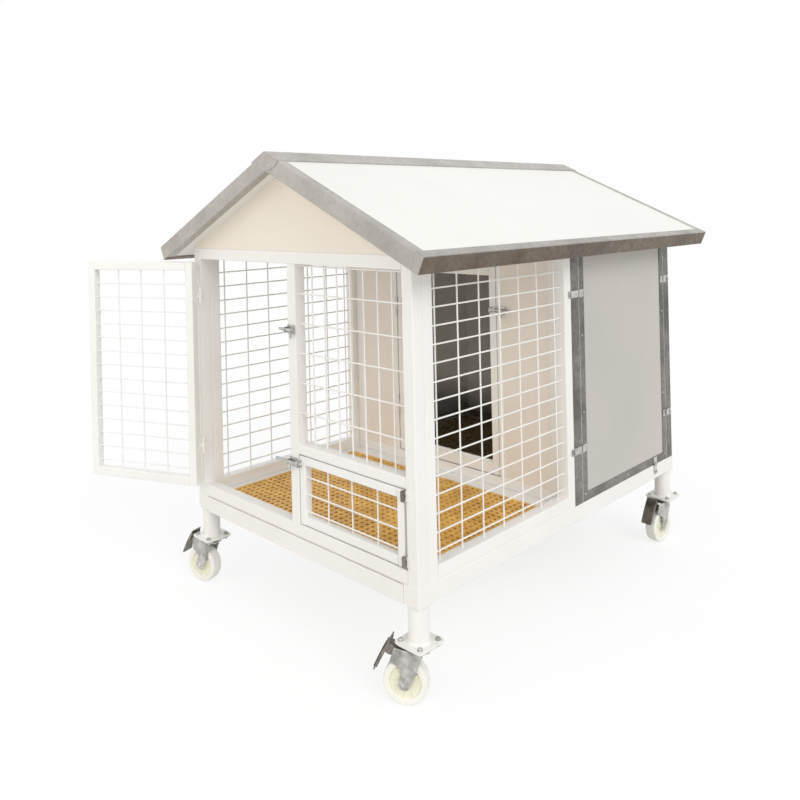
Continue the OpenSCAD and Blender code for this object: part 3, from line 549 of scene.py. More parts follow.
class Form:
    """Mesh code of one piece: bars, rods, folds and turned shapes in one mesh."""

    def __init__(self) -> None:
        """Starts an empty mesh."""
        self.bm = bmesh.new()

    def loft(self, rings: Sequence[Sequence[Vector]], wrap: bool = False) -> None:
        """Skins a row of rings that have as many points each.

        Args:
            rings: Rings in order.
            wrap: Whether the last ring joins the first; if not, both ends are closed.
        """
        rows = [[self.bm.verts.new(p) for p in ring] for ring in rings]
        pairs = list(zip(rows, rows[1:]))
        if wrap:
            pairs.append((rows[-1], rows[0]))
        for low, high in pairs:
            for i, near in enumerate(low):
                j = (i + 1) % len(low)
                self.bm.faces.new((near, low[j], high[j], high[i]))
        if not wrap:
            self.bm.faces.new(rows[0][::-1])
            self.bm.faces.new(rows[-1])

    def beam(self, low: Point, high: Point, axis: int, radius: float = 0.003, chamfer: float = 0.0006) -> None:
        """Adds a tube-like bar with round long edges.

        Args:
            low: Lowest corner.
            high: Highest corner.
            axis: Index of the long axis.
            radius: Radius of the long edges.
            chamfer: Chamfer of the two ends.
        """
        lo, hi = Vector(low), Vector(high)
        u, v = (axis + 1) % 3, (axis + 2) % 3
        size, mid = hi - lo, (lo + hi) / 2
        radius = min(radius, size[u] * 0.45, size[v] * 0.45)
        chamfer = min(chamfer, radius * 0.9, size[axis] * 0.3)
        start, end = lo[axis], hi[axis]
        rings = []
        for place, inset in ((start, chamfer), (start + chamfer, 0), (end - chamfer, 0), (end, chamfer)):
            ring = []
            for a, b in rounded_rect(size[u] - 2 * inset, size[v] - 2 * inset, radius - inset):
                p = Vector((0, 0, 0))
                p[axis], p[u], p[v] = place, mid[u] + a, mid[v] + b
                ring.append(p)
            rings.append(ring)
        self.loft(rings)

    def twins(self, low: Point, high: Point, axis: int, radius: float = 0.003) -> None:
        """Adds a bar on the right-hand side, and its mirror image on the left."""
        self.beam(low, high, axis, radius)
        self.beam((-high[0], *low[1:]), (-low[0], *high[1:]), axis, radius)

    def turned(self, profile: Outline, placing: Matrix, sides: int = 32, wrap: bool = False) -> None:
        """Adds a turned shape.

        Args:
            profile: Radius and height of each ring.
            placing: Matrix whose third axis is the axis of turning.
            sides: Segments round the axis.
            wrap: Whether the profile closes on itself, as round a bore.
        """
        rings = [
            [placing @ Vector((x, y, height)) for x, y in circle(max(radius, 1e-5), sides)]
            for radius, height in profile
        ]
        self.loft(rings, wrap)

    def sleeve(self, placing: Matrix, bore: float, radius: float, z0: float, z1: float, edge: float) -> None:
        """Adds a knuckle: a short tube with chamfered outer edges.

        Args:
            placing: Matrix whose third axis is the pin's.
            bore: Radius of the hole.
            radius: Outer radius.
            z0: Lower end.
            z1: Upper end.
            edge: Chamfer.
        """
        inner = radius - edge
        profile = [(bore, z0), (inner, z0), (radius, z0 + edge), (radius, z1 - edge), (inner, z1), (bore, z1)]
        self.turned(profile, placing, 32 if radius > 0.005 else 24, wrap=True)

    def rod(self, start: Point, end: Point, radius: float, sides: int = 16, chamfer: float = 0.0) -> None:
        """Adds a round rod between two points.

        Args:
            start: Centre of one end.
            end: Centre of the other end.
            radius: Radius.
            sides: Segments.
            chamfer: Chamfer of both ends.
        """
        a, b = Vector(start), Vector(end)
        length, inner = (b - a).length, radius - chamfer
        profile = [(radius, 0.0), (radius, length)]
        if chamfer > 0:
            profile = [(inner, 0.0), (radius, chamfer), (radius, length - chamfer), (inner, length)]
        self.turned(profile, facing(a, b - a), sides)

    def bent_rod(self, path: Sequence[Point], radius: float, sides: int = 10) -> None:
        """Adds a round rod along a path.

        Args:
            path: Points of the middle line.
            radius: Radius.
            sides: Segments.
        """
        points = [Vector(p) for p in path]
        ahead = (points[1] - points[0]).normalized()
        side = Vector(UP) if abs(ahead.z) < 0.9 else Vector((1, 0, 0))
        rings = []
        for i, p in enumerate(points):
            ahead = (points[min(i + 1, len(points) - 1)] - points[max(i - 1, 0)]).normalized()
            side = (side - ahead * side.dot(ahead)).normalized()
            other = ahead.cross(side)
            rings.append([p + side * a + other * b for a, b in circle(radius, sides)])
        self.loft(rings)

    def fold(self, path: Outline, thickness: float, near: Placing, far: Placing, bend: float) -> None:
        """Adds a folded sheet.

        Args:
            path: Middle line of the fold, corner by corner.
            thickness: Sheet thickness.
            near: Puts a point of the fold's section at one end.
            far: Puts it at the other end.
            bend: Bend radius.
        """
        points = [Vector(p) for p in (soften(path, bend) if len(path) > 2 else path)]
        left, right = [], []
        for i, p in enumerate(points):
            before = (p - points[i - 1]).normalized() if i > 0 else None
            after = (points[i + 1] - p).normalized() if i + 1 < len(points) else None
            first, second = before or after, after or before
            normal = Vector((-(first.y + second.y), first.x + second.x)).normalized()
            reach = thickness / 2 / max(0.4, normal.dot(Vector((-first.y, first.x))))
            left.append(p + normal * reach)
            right.append(p - normal * reach)
        ends = [
            [(self.bm.verts.new(place(*a)), self.bm.verts.new(place(*b))) for a, b in zip(left, right)]
            for place in (near, far)
        ]
        new = self.bm.faces.new
        for (a0, b0), (a1, b1), (c0, d0), (c1, d1) in zip(ends[0], ends[0][1:], ends[1], ends[1][1:]):
            for corners in ((a0, a1, c1, c0), (b0, d0, d1, b1), (a0, b0, b1, a1), (c0, c1, d1, d0)):
                new(corners)
        for k in (0, -1):
            (a, b), (c, d) = ends[0][k], ends[1][k]
            new((a, c, d, b) if k == 0 else (a, b, d, c))

    def fold_on(
        self, path: Outline, thickness: float, placing: Matrix, z0: float, z1: float, bend: float,
    ) -> None:
        """Adds a folded sheet between two heights of a placing.

        Args:
            path: Middle line in the placing's first two axes.
            thickness: Sheet thickness.
            placing: Where the fold goes.
            z0: Height of one end.
            z1: Height of the other end.
            bend: Bend radius.
        """
        near, far = (lambda x, y, z=z: placing @ Vector((x, y, z)) for z in (z0, z1))
        self.fold(path, thickness, near, far, bend)

    def plate(self, outline: Sequence[Point], thickness: float, placing: Matrix, edge: float = 0.0004) -> None:
        """Adds a flat plate with slightly broken edges.

        Args:
            outline: Corners in the placing's first two axes.
            thickness: Thickness along its third axis, from 0 up.
            placing: Where the plate goes.
            edge: Width of the broken edge.
        """
        low, high = ([self.bm.verts.new((x, y, z)) for x, y in outline] for z in (0.0, thickness))
        faces = [self.bm.faces.new(low[::-1]), self.bm.faces.new(high)]
        for i in range(len(low)):
            j = (i + 1) % len(low)
            self.bm.faces.new((low[i], low[j], high[j], high[i]))
        rims = list({e for face in faces for e in face.edges})
        bevelled = bmesh.ops.bevel(
            self.bm, geom=rims, offset=edge, segments=1, affect="EDGES", clamp_overlap=True)
        made = list({v for v in low + high if v.is_valid} | set(bevelled["verts"]))
        bmesh.ops.transform(self.bm, matrix=placing, verts=made)

    def ring_plate(self, outer: Outline, inner: Outline, thickness: float, placing: Matrix) -> None:
        """Adds a flat plate with one hole that has as many points as its outline.

        Args:
            outer: Outer outline.
            inner: Outline of the hole.
            thickness: Thickness along the placing's third axis.
            placing: Where it goes.
        """
        e = min(0.0004, thickness / 4)
        rings = [
            [placing @ Vector((x, y, z)) for x, y in outline]
            for outline, z in ((outer, e), (outer, thickness - e), (inner, thickness - e), (inner, e))
        ]
        self.loft(rings, wrap=True)

    def dome(self, centre: Point, normal: Point) -> None:
        """Adds a domed rivet head with a small dimple.

        Args:
            centre: Centre of its seat.
            normal: Direction that it stands up.
        """
        r, h = RIVET_RADIUS, RIVET_HEIGHT
        profile = [
            (r, -0.0002), (r, h * 0.25), (r * 0.82, h * 0.72), (r * 0.5, h), (r * 0.28, h), (r * 0.22, h * 0.7),
        ]
        self.turned(profile, facing(centre, normal), 16)

    def hexagon(self, centre: Point, normal: Point, across: float, height: float, washer: float = 0.0) -> None:
        """Adds a hexagon head or nut.

        Args:
            centre: Centre of its seat.
            normal: Direction that it stands up.
            across: Distance over the flats.
            height: Height of the head.
            washer: Radius of a washer under it, or 0.
        """
        placing, rise, r = facing(centre, normal), 0.0, across / math.sqrt(3)
        if washer > 0:
            rise = 0.0016
            self.turned([(washer, 0), (washer, rise * 0.7), (washer - 0.0005, rise)], placing, 28)
        top = rise + height
        self.turned([(r * 0.97, rise), (r, rise + 0.0005), (r, top - 0.0012), (r * 0.88, top)], placing, 6)
        self.turned([(r * 0.52, top - 0.0002), (r * 0.50, top + 0.0012), (r * 0.4, top + 0.0016)], placing, 16)

    def bead(self, start: Point, end: Point, radius: float = 0.0016) -> None:
        """Adds a weld bead: a rod of even ripples along a joint.

        Args:
            start: One end.
            end: The other end.
            radius: Radius of the ripples.
        """
        a, b = Vector(start), Vector(end)
        length = (b - a).length
        count = max(3, int(length / 0.0028))
        profile = [(radius * (1.0 if k % 2 else 0.82), length * k / count) for k in range(count + 1)]
        self.turned(profile, facing(a, b - a), 8)

    def beads(self, xs: Point, zs: Point, y0: float, y1: float, radius: float = 0.0017) -> None:
        """Adds weld beads through a wall wherever tubes meet.

        Args:
            xs: Their places along the wall.
            zs: Their heights.
            y0: Front face of the wall.
            y1: Rear face of the wall.
            radius: Radius of the beads.
        """
        for x in xs:
            for z in zs:
                self.bead((x, y0 + 0.004, z), (x, y1 - 0.004, z), radius)

    def place(self, matrix: Matrix) -> Form:
        """Moves all that has been added so far and returns the form."""
        bmesh.ops.transform(self.bm, matrix=matrix, verts=self.bm.verts[:])
        return self

    def to_object(self, name: str, finish: Finish) -> bpy.types.Object:
        """Turns the form into an object.

        Args:
            name: The object's name.
            finish: Its finish.

        Returns:
            The object.
        """
        mesh = bpy.data.meshes.new(name)
        self.bm.to_mesh(mesh)
        self.bm.free()
        mesh.materials.append(finish.material())
        made = bpy.data.objects.new(name, mesh)
        bpy.context.scene.collection.objects.link(made)
        return made

    def piece(self, name: str, body: str, finish: Finish, *nodes: str, smooth: float = 40.0) -> None:
        """Turns the form into a piece that rides on a body.

        Args:
            name: The piece's name.
            body: The body that carries it.
            finish: Its finish.
            *nodes: CAD nodes that it stands for.
            smooth: Edges sharper than this many degrees stay sharp.
        """
        bmesh.ops.recalc_face_normals(self.bm, faces=self.bm.faces[:])
        piece = self.to_object(name, finish)
        mesh = piece.data
        mesh.polygons.foreach_set("use_smooth", [True] * len(mesh.polygons))
        mesh.set_sharp_from_angle(angle=math.radians(smooth))
        piece.modifiers.new("even_shading", "WEIGHTED_NORMAL").keep_sharp = True
        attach(piece, body)
        if nodes:
            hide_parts(*nodes)
        log.info("%s on %s: %d faces", name, body, len(mesh.polygons))


def dress(finish: Finish, *nodes: str) -> None:
    """Gives CAD nodes a finish in place of their plain colour.

    Args:
        finish: The finish.
        *nodes: Names of the nodes that stay.
    """
    for node in nodes:
        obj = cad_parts[node]
        for holder in obj.material_slots:
            holder.material = finish.material()
        if not obj.material_slots:
            obj.data.materials.append(finish.material())
        log.info("%s keeps its solid, finish %s", node, finish.name)


@dataclass
class Base:
    """The base ring with its sockets, lips and runners, and the four legs."""

    leg_radius: float = 0.030
    foot_thick: float = 0.006
    foot_side: float = 0.100
    socket: float = 0.058

    def build(self) -> None:
        """Builds the ring and the legs."""
        self.ring()
        self.legs()

    def ring(self) -> None:
        """Rails, cross member, sill bar, corner sockets and small lips."""
        p, f = PLAN, Form()
        hw, hd, z0, z1, ri = p.half_width, p.half_depth, p.ring_low, p.deck, p.rail_inner
        f.twins((ri, -hd + 0.0045, z0), (hw, hd, z1), 1)
        f.beam((-ri, hd - p.rail, z0), (ri, hd, z1), 0)
        f.beam((-ri, p.cross_front, z0), (ri, p.cross_rear, z1), 0)
        f.beam((-ri, -hd + 0.005, z1 - 0.012), (ri, -hd + p.rail, z1), 0, 0.0012)
        for width, y0, y1, low, high in (
            (0.008, -hd + 0.060, p.cross_front, z1 - 0.016, z1 - 0.012),
            (0.008, p.cross_rear, hd - p.rail, z1 - 0.016, z1 - 0.012),
            (0.012, -hd + 0.012, p.cross_front, z0, z0 + 0.003),
        ):
            f.twins((ri - width, y0, low), (ri, y1, high), 1, 0.001)
        c = self.socket / 2
        for sx in (-1, 1):
            for sy in (-1, 1):
                x, y = sx * (hw - 0.028), sy * (hd - 0.028)
                f.beam((x - c, y - c, z0), (x + c, y + c, z1), 2, 0.003, 0.001)
            for y in (p.cross_front, p.cross_rear, hd - p.rail):
                f.bead((sx * ri, y, z0 + 0.002), (sx * ri, y, z1 - 0.002))
        f.piece("base_ring", KENNEL, WHITE, "base_frame")

    def legs(self) -> None:
        """Round legs with a weld at both ends and a square foot plate."""
        f, r, foot, side = Form(), self.leg_radius, self.foot_thick, self.foot_side
        rise = PLAN.ring_low - PLAN.foot_low
        welds = (
            [(r, foot + 0.004), (r + 0.0022, foot + 0.0026), (r + 0.0042, foot), (r, foot)],
            [(r, rise - 0.004), (r + 0.002, rise - 0.0026), (r + 0.0036, rise), (r, rise)],
        )
        for sx in (-1, 1):
            for sy in (-1, 1):
                at = shift(sx * PLAN.leg_x, sy * PLAN.leg_y, PLAN.foot_low)
                f.turned([(r, foot), (r, rise)], at, 48)
                for weld in welds:
                    f.turned(weld, at, 48, wrap=True)
                f.plate(rounded_rect(side, side, 0.008, 5), foot, at, 0.0006)
        f.piece("leg_tubes", KENNEL, WHITE, "legs")


@dataclass
class Caster:
    """One swivel caster with fork, wheel and brake pedal."""

    key: str
    leg: tuple[float, float]
    trail_degrees: float
    wheel_radius: float = 0.0625
    wheel_half: float = 0.020
    hub_radius: float = 0.0440
    trail: float = 0.038
    crown: float = 0.147
    plate_half: float = 0.047
    bolt_at: float = 0.036
    cheek_gap: float = 0.023
    cheek_thick: float = 0.003
    cheek_round: float = 0.018
    pivot_x: float = 0.050
    pivot_drop: float = 0.007
    tread_x: float = 0.0770
    tread_lean: float = 29.4

    def build(self) -> None:
        """Builds the parts that turn with this caster."""
        self.fork()
        self.wheel()
        self.pedal()

    def settle(self, f: Form, name: str, part: str, finish: Finish, *nodes: str) -> None:
        """Turns a form, drawn with X along the trail, into a piece of this caster.

        Args:
            f: The form.
            name: Name of the piece without the caster's key.
            part: Name of the body without the caster's key.
            finish: Its finish.
            *nodes: CAD nodes that it stands for, without the caster's key.
        """
        tail = "_" + self.key
        f.place(shift(*self.leg, 0) @ turn(self.trail_degrees, "Z"))
        f.piece(name + tail, part + tail, finish, *(node + tail for node in nodes))

    def plate_parts(self, plates: Form, bolts: Form) -> None:
        """Adds the fixed top plate, race and kingpin, and the bolts.

        Args:
            plates: Form of all the plates.
            bolts: Form of all the bolts.
        """
        (x, y), top, low, nut = self.leg, PLAN.foot_low, self.crown + 0.006, self.crown - 0.0058
        at, side = shift(x, y, 0), 2 * self.plate_half
        plates.plate(rounded_rect(side, side, 0.009, 5), 0.004, shift(x, y, top - 0.004), 0.0008)
        race = [
            (0.018, 0.0003), (0.0262, 0.0003), (0.0270, 0.0020), (0.0255, 0.0034), (0.0240, 0.0040),
            (0.0255, 0.0047), (0.0275, 0.0062),
        ]
        plates.turned([(r, low + z) for r, z in race] + [(0.0290, top - 0.0045), (0.0310, top - 0.004)], at, 56)
        plates.turned([(0.0058, self.crown - 0.002), (0.0058, low + 0.0004)], at, 24)
        lock = [(0.0075, nut), (0.0088, nut + 0.001), (0.0088, nut + 0.0048), (0.0078, nut + 0.0054)]
        plates.turned(lock, at, 32)
        for bx in (x - self.bolt_at, x + self.bolt_at):
            for by in (y - self.bolt_at, y + self.bolt_at):
                bolts.hexagon((bx, by, top + 0.006), UP, 0.0120, 0.0050, 0.0080)
                bolts.hexagon((bx, by, top - 0.004), DOWN, 0.0112, 0.0042)
                bolts.rod((bx, by, top - 0.012), (bx, by, top + 0.006), 0.0036, 12, 0.0004)

    def fork(self) -> None:
        """Crown with its lower race, two pressed cheeks with their brake wings, and the axle."""
        f, nuts = Form(), Form()
        cz, g, t, tr, r = self.crown, self.cheek_gap, self.cheek_thick, self.trail, self.cheek_round
        az, end, pivot = self.wheel_radius, g + t, cz - self.pivot_drop
        half = [(-0.030, 0.015), (-0.014, end), (0.028, end), (0.034, end - 0.007)]
        corners = half + mirrored(half)
        crown = [
            (a[0] + (b[0] - a[0]) * k / 4, a[1] + (b[1] - a[1]) * k / 4)
            for a, b in zip(corners, corners[1:] + corners[:1]) for k in range(4)
        ]
        hole = [(0.0062 * math.cos(a), 0.0062 * math.sin(a)) for a in (math.atan2(y, x) for x, y in crown)]
        f.ring_plate(crown, hole, 0.006, shift(0, 0, cz))
        turns = [math.pi * (1 + k / 12) for k in range(13)]
        foot = [(tr + r * math.cos(a), az + r * math.sin(a)) for a in turns]
        cheek = [(-0.0042, cz + 0.0055), (-0.0098, cz - 0.0140), *foot, (0.0262, cz + 0.0055)]
        rib = [
            (-0.001, cz - 0.003), (-0.0045, cz - 0.013), (tr - 0.010, az + 0.020), (tr + 0.008, az + 0.020),
            (0.0265, cz - 0.010), (0.023, cz - 0.003),
        ]
        wing = [
            (0.022, cz + 0.0057), (0.036, cz + 0.0060), (0.050, cz + 0.0082), (0.0635, cz + 0.0102),
            (0.0668, cz + 0.0085), (0.0784, cz - 0.0240), (0.0768, cz - 0.0275), (0.060, cz - 0.0385),
            (tr + 0.004, az + 0.034),
        ]
        for side in (-1, 1):
            out = (0, side, 0)
            f.plate(cheek, t, upright(0, side * g + (t if side > 0 else 0), 0), 0.0007)
            f.plate(wing, 0.0018, upright(0, side * (g + 0.0011) + 0.0009, 0), 0.0006)
            f.plate(rib, 0.0011, Matrix.Diagonal((1, -side, 1, 1)) @ upright(0, 0.0002 - end, 0), 0.0009)
            seat = facing((tr, side * end, az), out)
            f.turned([(0.0130, -0.0002), (0.0126, 0.0008), (0.0112, 0.0010)], seat, 32)
            nuts.hexagon((tr, side * (end + 0.0008), az), out, 0.0148, 0.0038, 0.0098)
            stud = facing((self.pivot_x, side * (g + 0.0018), pivot), out)
            f.turned([(0.0052, 0), (0.0052, 0.0016), (0.0040, 0.0022)], stud, 20)
        f.rod((tr, -g, az), (tr, g, az), 0.0050, 24)
        f.rod((self.pivot_x, -g, pivot), (self.pivot_x, g, pivot), 0.0030, 20)
        self.settle(f, "fork", "fork", CASTER_ZINC, "caster_fork")
        self.settle(nuts, "axle_nuts", "fork", BRIGHT)

    def wheel(self) -> None:
        """Nylon wheel: pale tyre, and between its edges a dished disc with webs and a hub."""
        tyre, disc, r, h, m = Form(), Form(), self.wheel_radius, self.wheel_half, self.hub_radius
        axle, hub = facing((self.trail, 0, r), (0, -1, 0)), 0.0160
        flank = [
            (m, 0.0148), (m + 0.0008, 0.0166), (m + 0.0016, h - 0.0008), (m + 0.0026, h), (r - 0.0036, h),
            (r - 0.0022, h - 0.0005), (r - 0.0009, h - 0.0018), (r - 0.0002, h - 0.0040), (r, h - 0.0062),
        ]
        face = [
            (0.0051, h + 0.0026), (0.0120, h + 0.0026), (0.0130, h + 0.0018),
            (0.0158, 0.0154), (0.0172, 0.0148), (m + 0.0004, 0.0148),
        ]
        for form, half, sides in ((tyre, flank, 72), (disc, face, 56)):
            form.turned([(a, -b) for a, b in half] + half[::-1], axle, sides, wrap=True)
        web = rounded_rect(m - hub, 0.0032, 0.0012, 2)
        for k in range(8):
            for side in (-1, 1):
                lift = shift((m + hub) / 2, 0, side * (h - 0.0056)) @ turn(0 if side > 0 else 180, "X")
                disc.plate(web, 0.0026, axle @ turn(45 * k + 10, "Z") @ lift, 0.0008)
        self.settle(tyre, "wheel", "wheel", NYLON, "caster_wheel")
        self.settle(disc, "wheel_disc", "wheel", DISC)

    def tread(self, t: float, off: float) -> tuple[float, float]:
        """Point in the side view of the pedal's tread.

        Args:
            t: 0 at the upper end, 1 at the lower.
            off: Distance outwards from the middle of its thickness.

        Returns:
            The x and z of the point.
        """
        lean, bow = math.radians(self.tread_lean), off + 0.010 * t * (1 - t)
        x = self.tread_x + 0.049 * t + bow * math.cos(lean)
        return x, self.crown + 0.029 - 0.087 * t + bow * math.sin(lean)

    def pedal(self) -> None:
        """Pressed brake pedal: boss on the pivot, arm and a steep ribbed tread with turned edges."""
        f, cz, px = Form(), self.crown, self.pivot_x
        boss = [(0.0032, 0), (0.0058, 0), (0.0064, 0.0008), (0.0064, 0.0372), (0.0058, 0.038), (0.0032, 0.038)]
        f.turned(boss, facing((px, 0.019, cz - self.pivot_drop), (0, -1, 0)), 32, wrap=True)
        arm = [
            (px - 0.003, cz - 0.0015), (px + 0.010, cz + 0.003), self.tread(0.12, -0.003), self.tread(0.18, 0),
            self.tread(0.42, 0), (px + 0.036, cz - 0.016), (px + 0.012, cz - 0.0158), (px + 0.002, cz - 0.013),
        ]
        f.plate(arm, 0.028, upright(0, 0.014, 0), 0.0010)
        f.fold_on([self.tread(k / 10, 0) for k in range(11)], 0.0034, upright(0, 0, 0), 0.0208, -0.0208, 0.004)
        for k in range(7):
            x, z = self.tread(0.22 + 0.115 * k, 0.0012)
            rib = shift(x, 0, z) @ turn(90 - self.tread_lean, "Y")
            f.plate(rounded_rect(0.0028, 0.0400, 0.0010, 2), 0.0034, rib, 0.0008)
        edge = [self.tread(t, 0.0010) for t in (0.04, 0.3, 0.6, 0.96)]
        edge += [self.tread(t, -0.0062) for t in (0.88, 0.6, 0.3, 0.10)]
        for side in (-1, 1):
            f.plate(edge, 0.0020, upright(0, side * 0.0199 + 0.0010, 0), 0.0004)
        self.settle(f, "pedal", "pedal", DARK, "brake_pedal")


@dataclass
class WireNet:
    """Welded mesh: uprights and levels that touch, with a nugget at each crossing."""

    wire: float = 0.005
    offset: float = 0.0021
    foot: float = 0.0022
    foot_share: float = 1.45
    nugget_share: float = 0.62
    nugget_step: float = 0.00085

    def build(self, form: Form, place: Placing3, ups: Point, levels: Point, spans: Point) -> None:
        """Adds one net.

        Args:
            form: Form that takes the wires.
            place: Puts (along, depth, height) into the frame; depth is out of the wall.
            ups: Positions of the uprights along the wall.
            levels: Heights of the level wires.
            spans: First and last position along the wall, then lowest and highest point.
        """
        a0, a1, z0, z1 = spans
        r, off, foot = self.wire / 2, self.offset, self.foot
        wide, nugget = r * self.foot_share, self.wire * self.nugget_share
        for a in ups:
            form.rod(place(a, -off, z0), place(a, -off, z1), r, 12)
        for z in levels:
            form.rod(place(a0, off, z), place(a1, off, z), r, 12)
            for a, lean in ((a0, foot), (a1, -foot)):
                form.rod(place(a, off, z), place(a + lean, off, z), wide, 12, 0.0008)
        for a in ups:
            for z, lean in ((z0, foot), (z1, -foot)):
                form.rod(place(a, -off, z), place(a, -off, z + lean), wide, 12, 0.0008)
            for z in levels:
                form.loft([
                    [place(a + u, depth * self.nugget_step, z + v) for u, v in circle(nugget * share, 10)]
                    for depth, share in ((-2, 0.45), (-1, 0.92), (0, 1.0), (1, 0.92), (2, 0.45))
                ])


def net_rows(low: float, high: float, first: float, spare: float, pitch: float, more: int) -> list[float]:
    """Heights of a net's level wires.

    Args:
        low: Lowest point of the window.
        high: Highest point.
        first: Height of the first wire above the lowest point.
        spare: Height that the rows leave free.
        pitch: Spacing of the wires.
        more: Wires beyond the whole pitches.

    Returns:
        The heights.
    """
    count = math.floor((high - low - spare) / pitch + 1e-9) + more
    return [low + first + k * pitch for k in range(count)]


@dataclass
class FrontWall:
    """Front wall: posts, rails, centre post, feed door head and the upper net."""

    depth: float = 0.040

    def build(self) -> None:
        """Builds the tubes and the net."""
        p, f, net = PLAN, Form(), Form()
        y0, y1, x1 = -p.half_depth, -p.half_depth + self.depth, p.half_width - p.tube
        low, high, left, right = p.deck + p.tube, p.top - p.tube, p.post_left, p.post_right
        f.twins((x1, y0, p.deck), (p.half_width, y1, p.top), 2)
        f.beam((-x1, y0, p.deck), (x1, y1, low), 0)
        f.beam((-x1, y0, high), (x1, y1, p.top), 0)
        f.beam((left, y0, low), (right, y1, high), 2)
        f.beam((right, y0, p.feed_head), (x1, y1, p.upper_sill), 0)
        f.beads((-x1, left, right, x1), (low, high), y0, y1)
        f.beads((right, x1), (p.feed_head, p.upper_sill), y0, y1)
        f.piece("front_wall_tubes", KENNEL, WHITE, "front_frame")
        mid, wide, tall = (y0 + y1) / 2, x1 - right, high - p.upper_sill
        ups = [right + wide * k / 8 for k in range(1, 8)]
        levels = [p.upper_sill + tall * k / 6 for k in range(1, 6)] + [high - 0.006]
        spans = (right, x1, p.upper_sill, high)
        WireNet().build(net, lambda a, d, z: Vector((a, mid - d, z)), ups, levels, spans)
        net.piece("front_net", KENNEL, WIRE_WHITE, "front_mesh")


@dataclass
class SideWall:
    """One side wall of the yard: four tubes and their net."""

    side: int
    pitch_along: float = 0.0985
    pitch_up: float = 0.052
    first_row: float = 0.027
    spare: float = 0.032
    margin: float = 0.020

    def build(self, tubes: Form, nets: Form) -> None:
        """Adds the tubes and the net to the forms of both side walls.

        Args:
            tubes: Form that takes the tubes.
            nets: Form that takes the nets.
        """
        p, s = PLAN, self.side
        t, hw = p.tube, p.half_width
        y0, y1, z0, z1 = -p.half_depth + t, p.stile_rear, p.deck, p.top
        x0, x1 = sorted((s * (hw - t), s * hw))
        for ya, yb, za, zb, axis in (
            (y0, y0 + t, z0, z1, 2), (y1 - t, y1, z0, z1, 2),
            (y0 + t, y1 - t, z0, z0 + t, 1), (y0 + t, y1 - t, z1 - t, z1, 1),
        ):
            tubes.beam((x0, ya, za), (x1, yb, zb), axis)
        y0, y1, z0, z1 = y0 + t, y1 - t, z0 + t, z1 - t
        for y in (y0, y1):
            for z in (z0, z1):
                tubes.bead((s * (hw - t + 0.004), y, z), (s * (hw - 0.004), y, z), 0.0017)
        count = math.floor((y1 - y0 - self.margin) / self.pitch_along + 1e-9)
        first, mid = (y0 + y1) / 2 - count * self.pitch_along / 2, hw - t / 2
        WireNet().build(
            nets, lambda a, d, z: Vector((s * (mid + d), a, z)),
            [first + k * self.pitch_along for k in range(count + 1)],
            net_rows(z0, z1, self.first_row, self.spare, self.pitch_up, 0), (y0, y1, z0, z1),
        )


@dataclass
class Partition:
    """Wall between yard and room: tubes round two fill panels and the inner doorway."""

    depth: float = 0.040
    jamb: float = 0.020
    door_left: float = -0.265
    door_right: float = 0.247
    head: float = 1.134
    sill: float = 0.364

    def build(self) -> None:
        """Builds the tubes and finishes the fill panels."""
        p, f, left, right = PLAN, Form(), self.door_left, self.door_right
        y0, y1, x1, high = p.partition, p.partition + self.depth, p.half_width - p.tube, p.top - p.tube
        x0 = x1 - p.tube
        f.twins((x0, y0, p.deck), (x1, y1, p.top), 2)
        f.beam((-x0, y0, p.deck), (x0, y1, self.sill), 0)
        f.beam((-x0, y0, high), (x0, y1, p.top), 0)
        for a, b in ((left - self.jamb, left), (right, right + self.jamb)):
            f.beam((a, y0, self.sill), (b, y1, high), 2, 0.002)
        f.beam((left, y0, self.head), (right, y1, high), 0, 0.002)
        f.piece("partition_tubes", KENNEL, WHITE, "partition_frame")
        dress(LINING, "partition_panels")


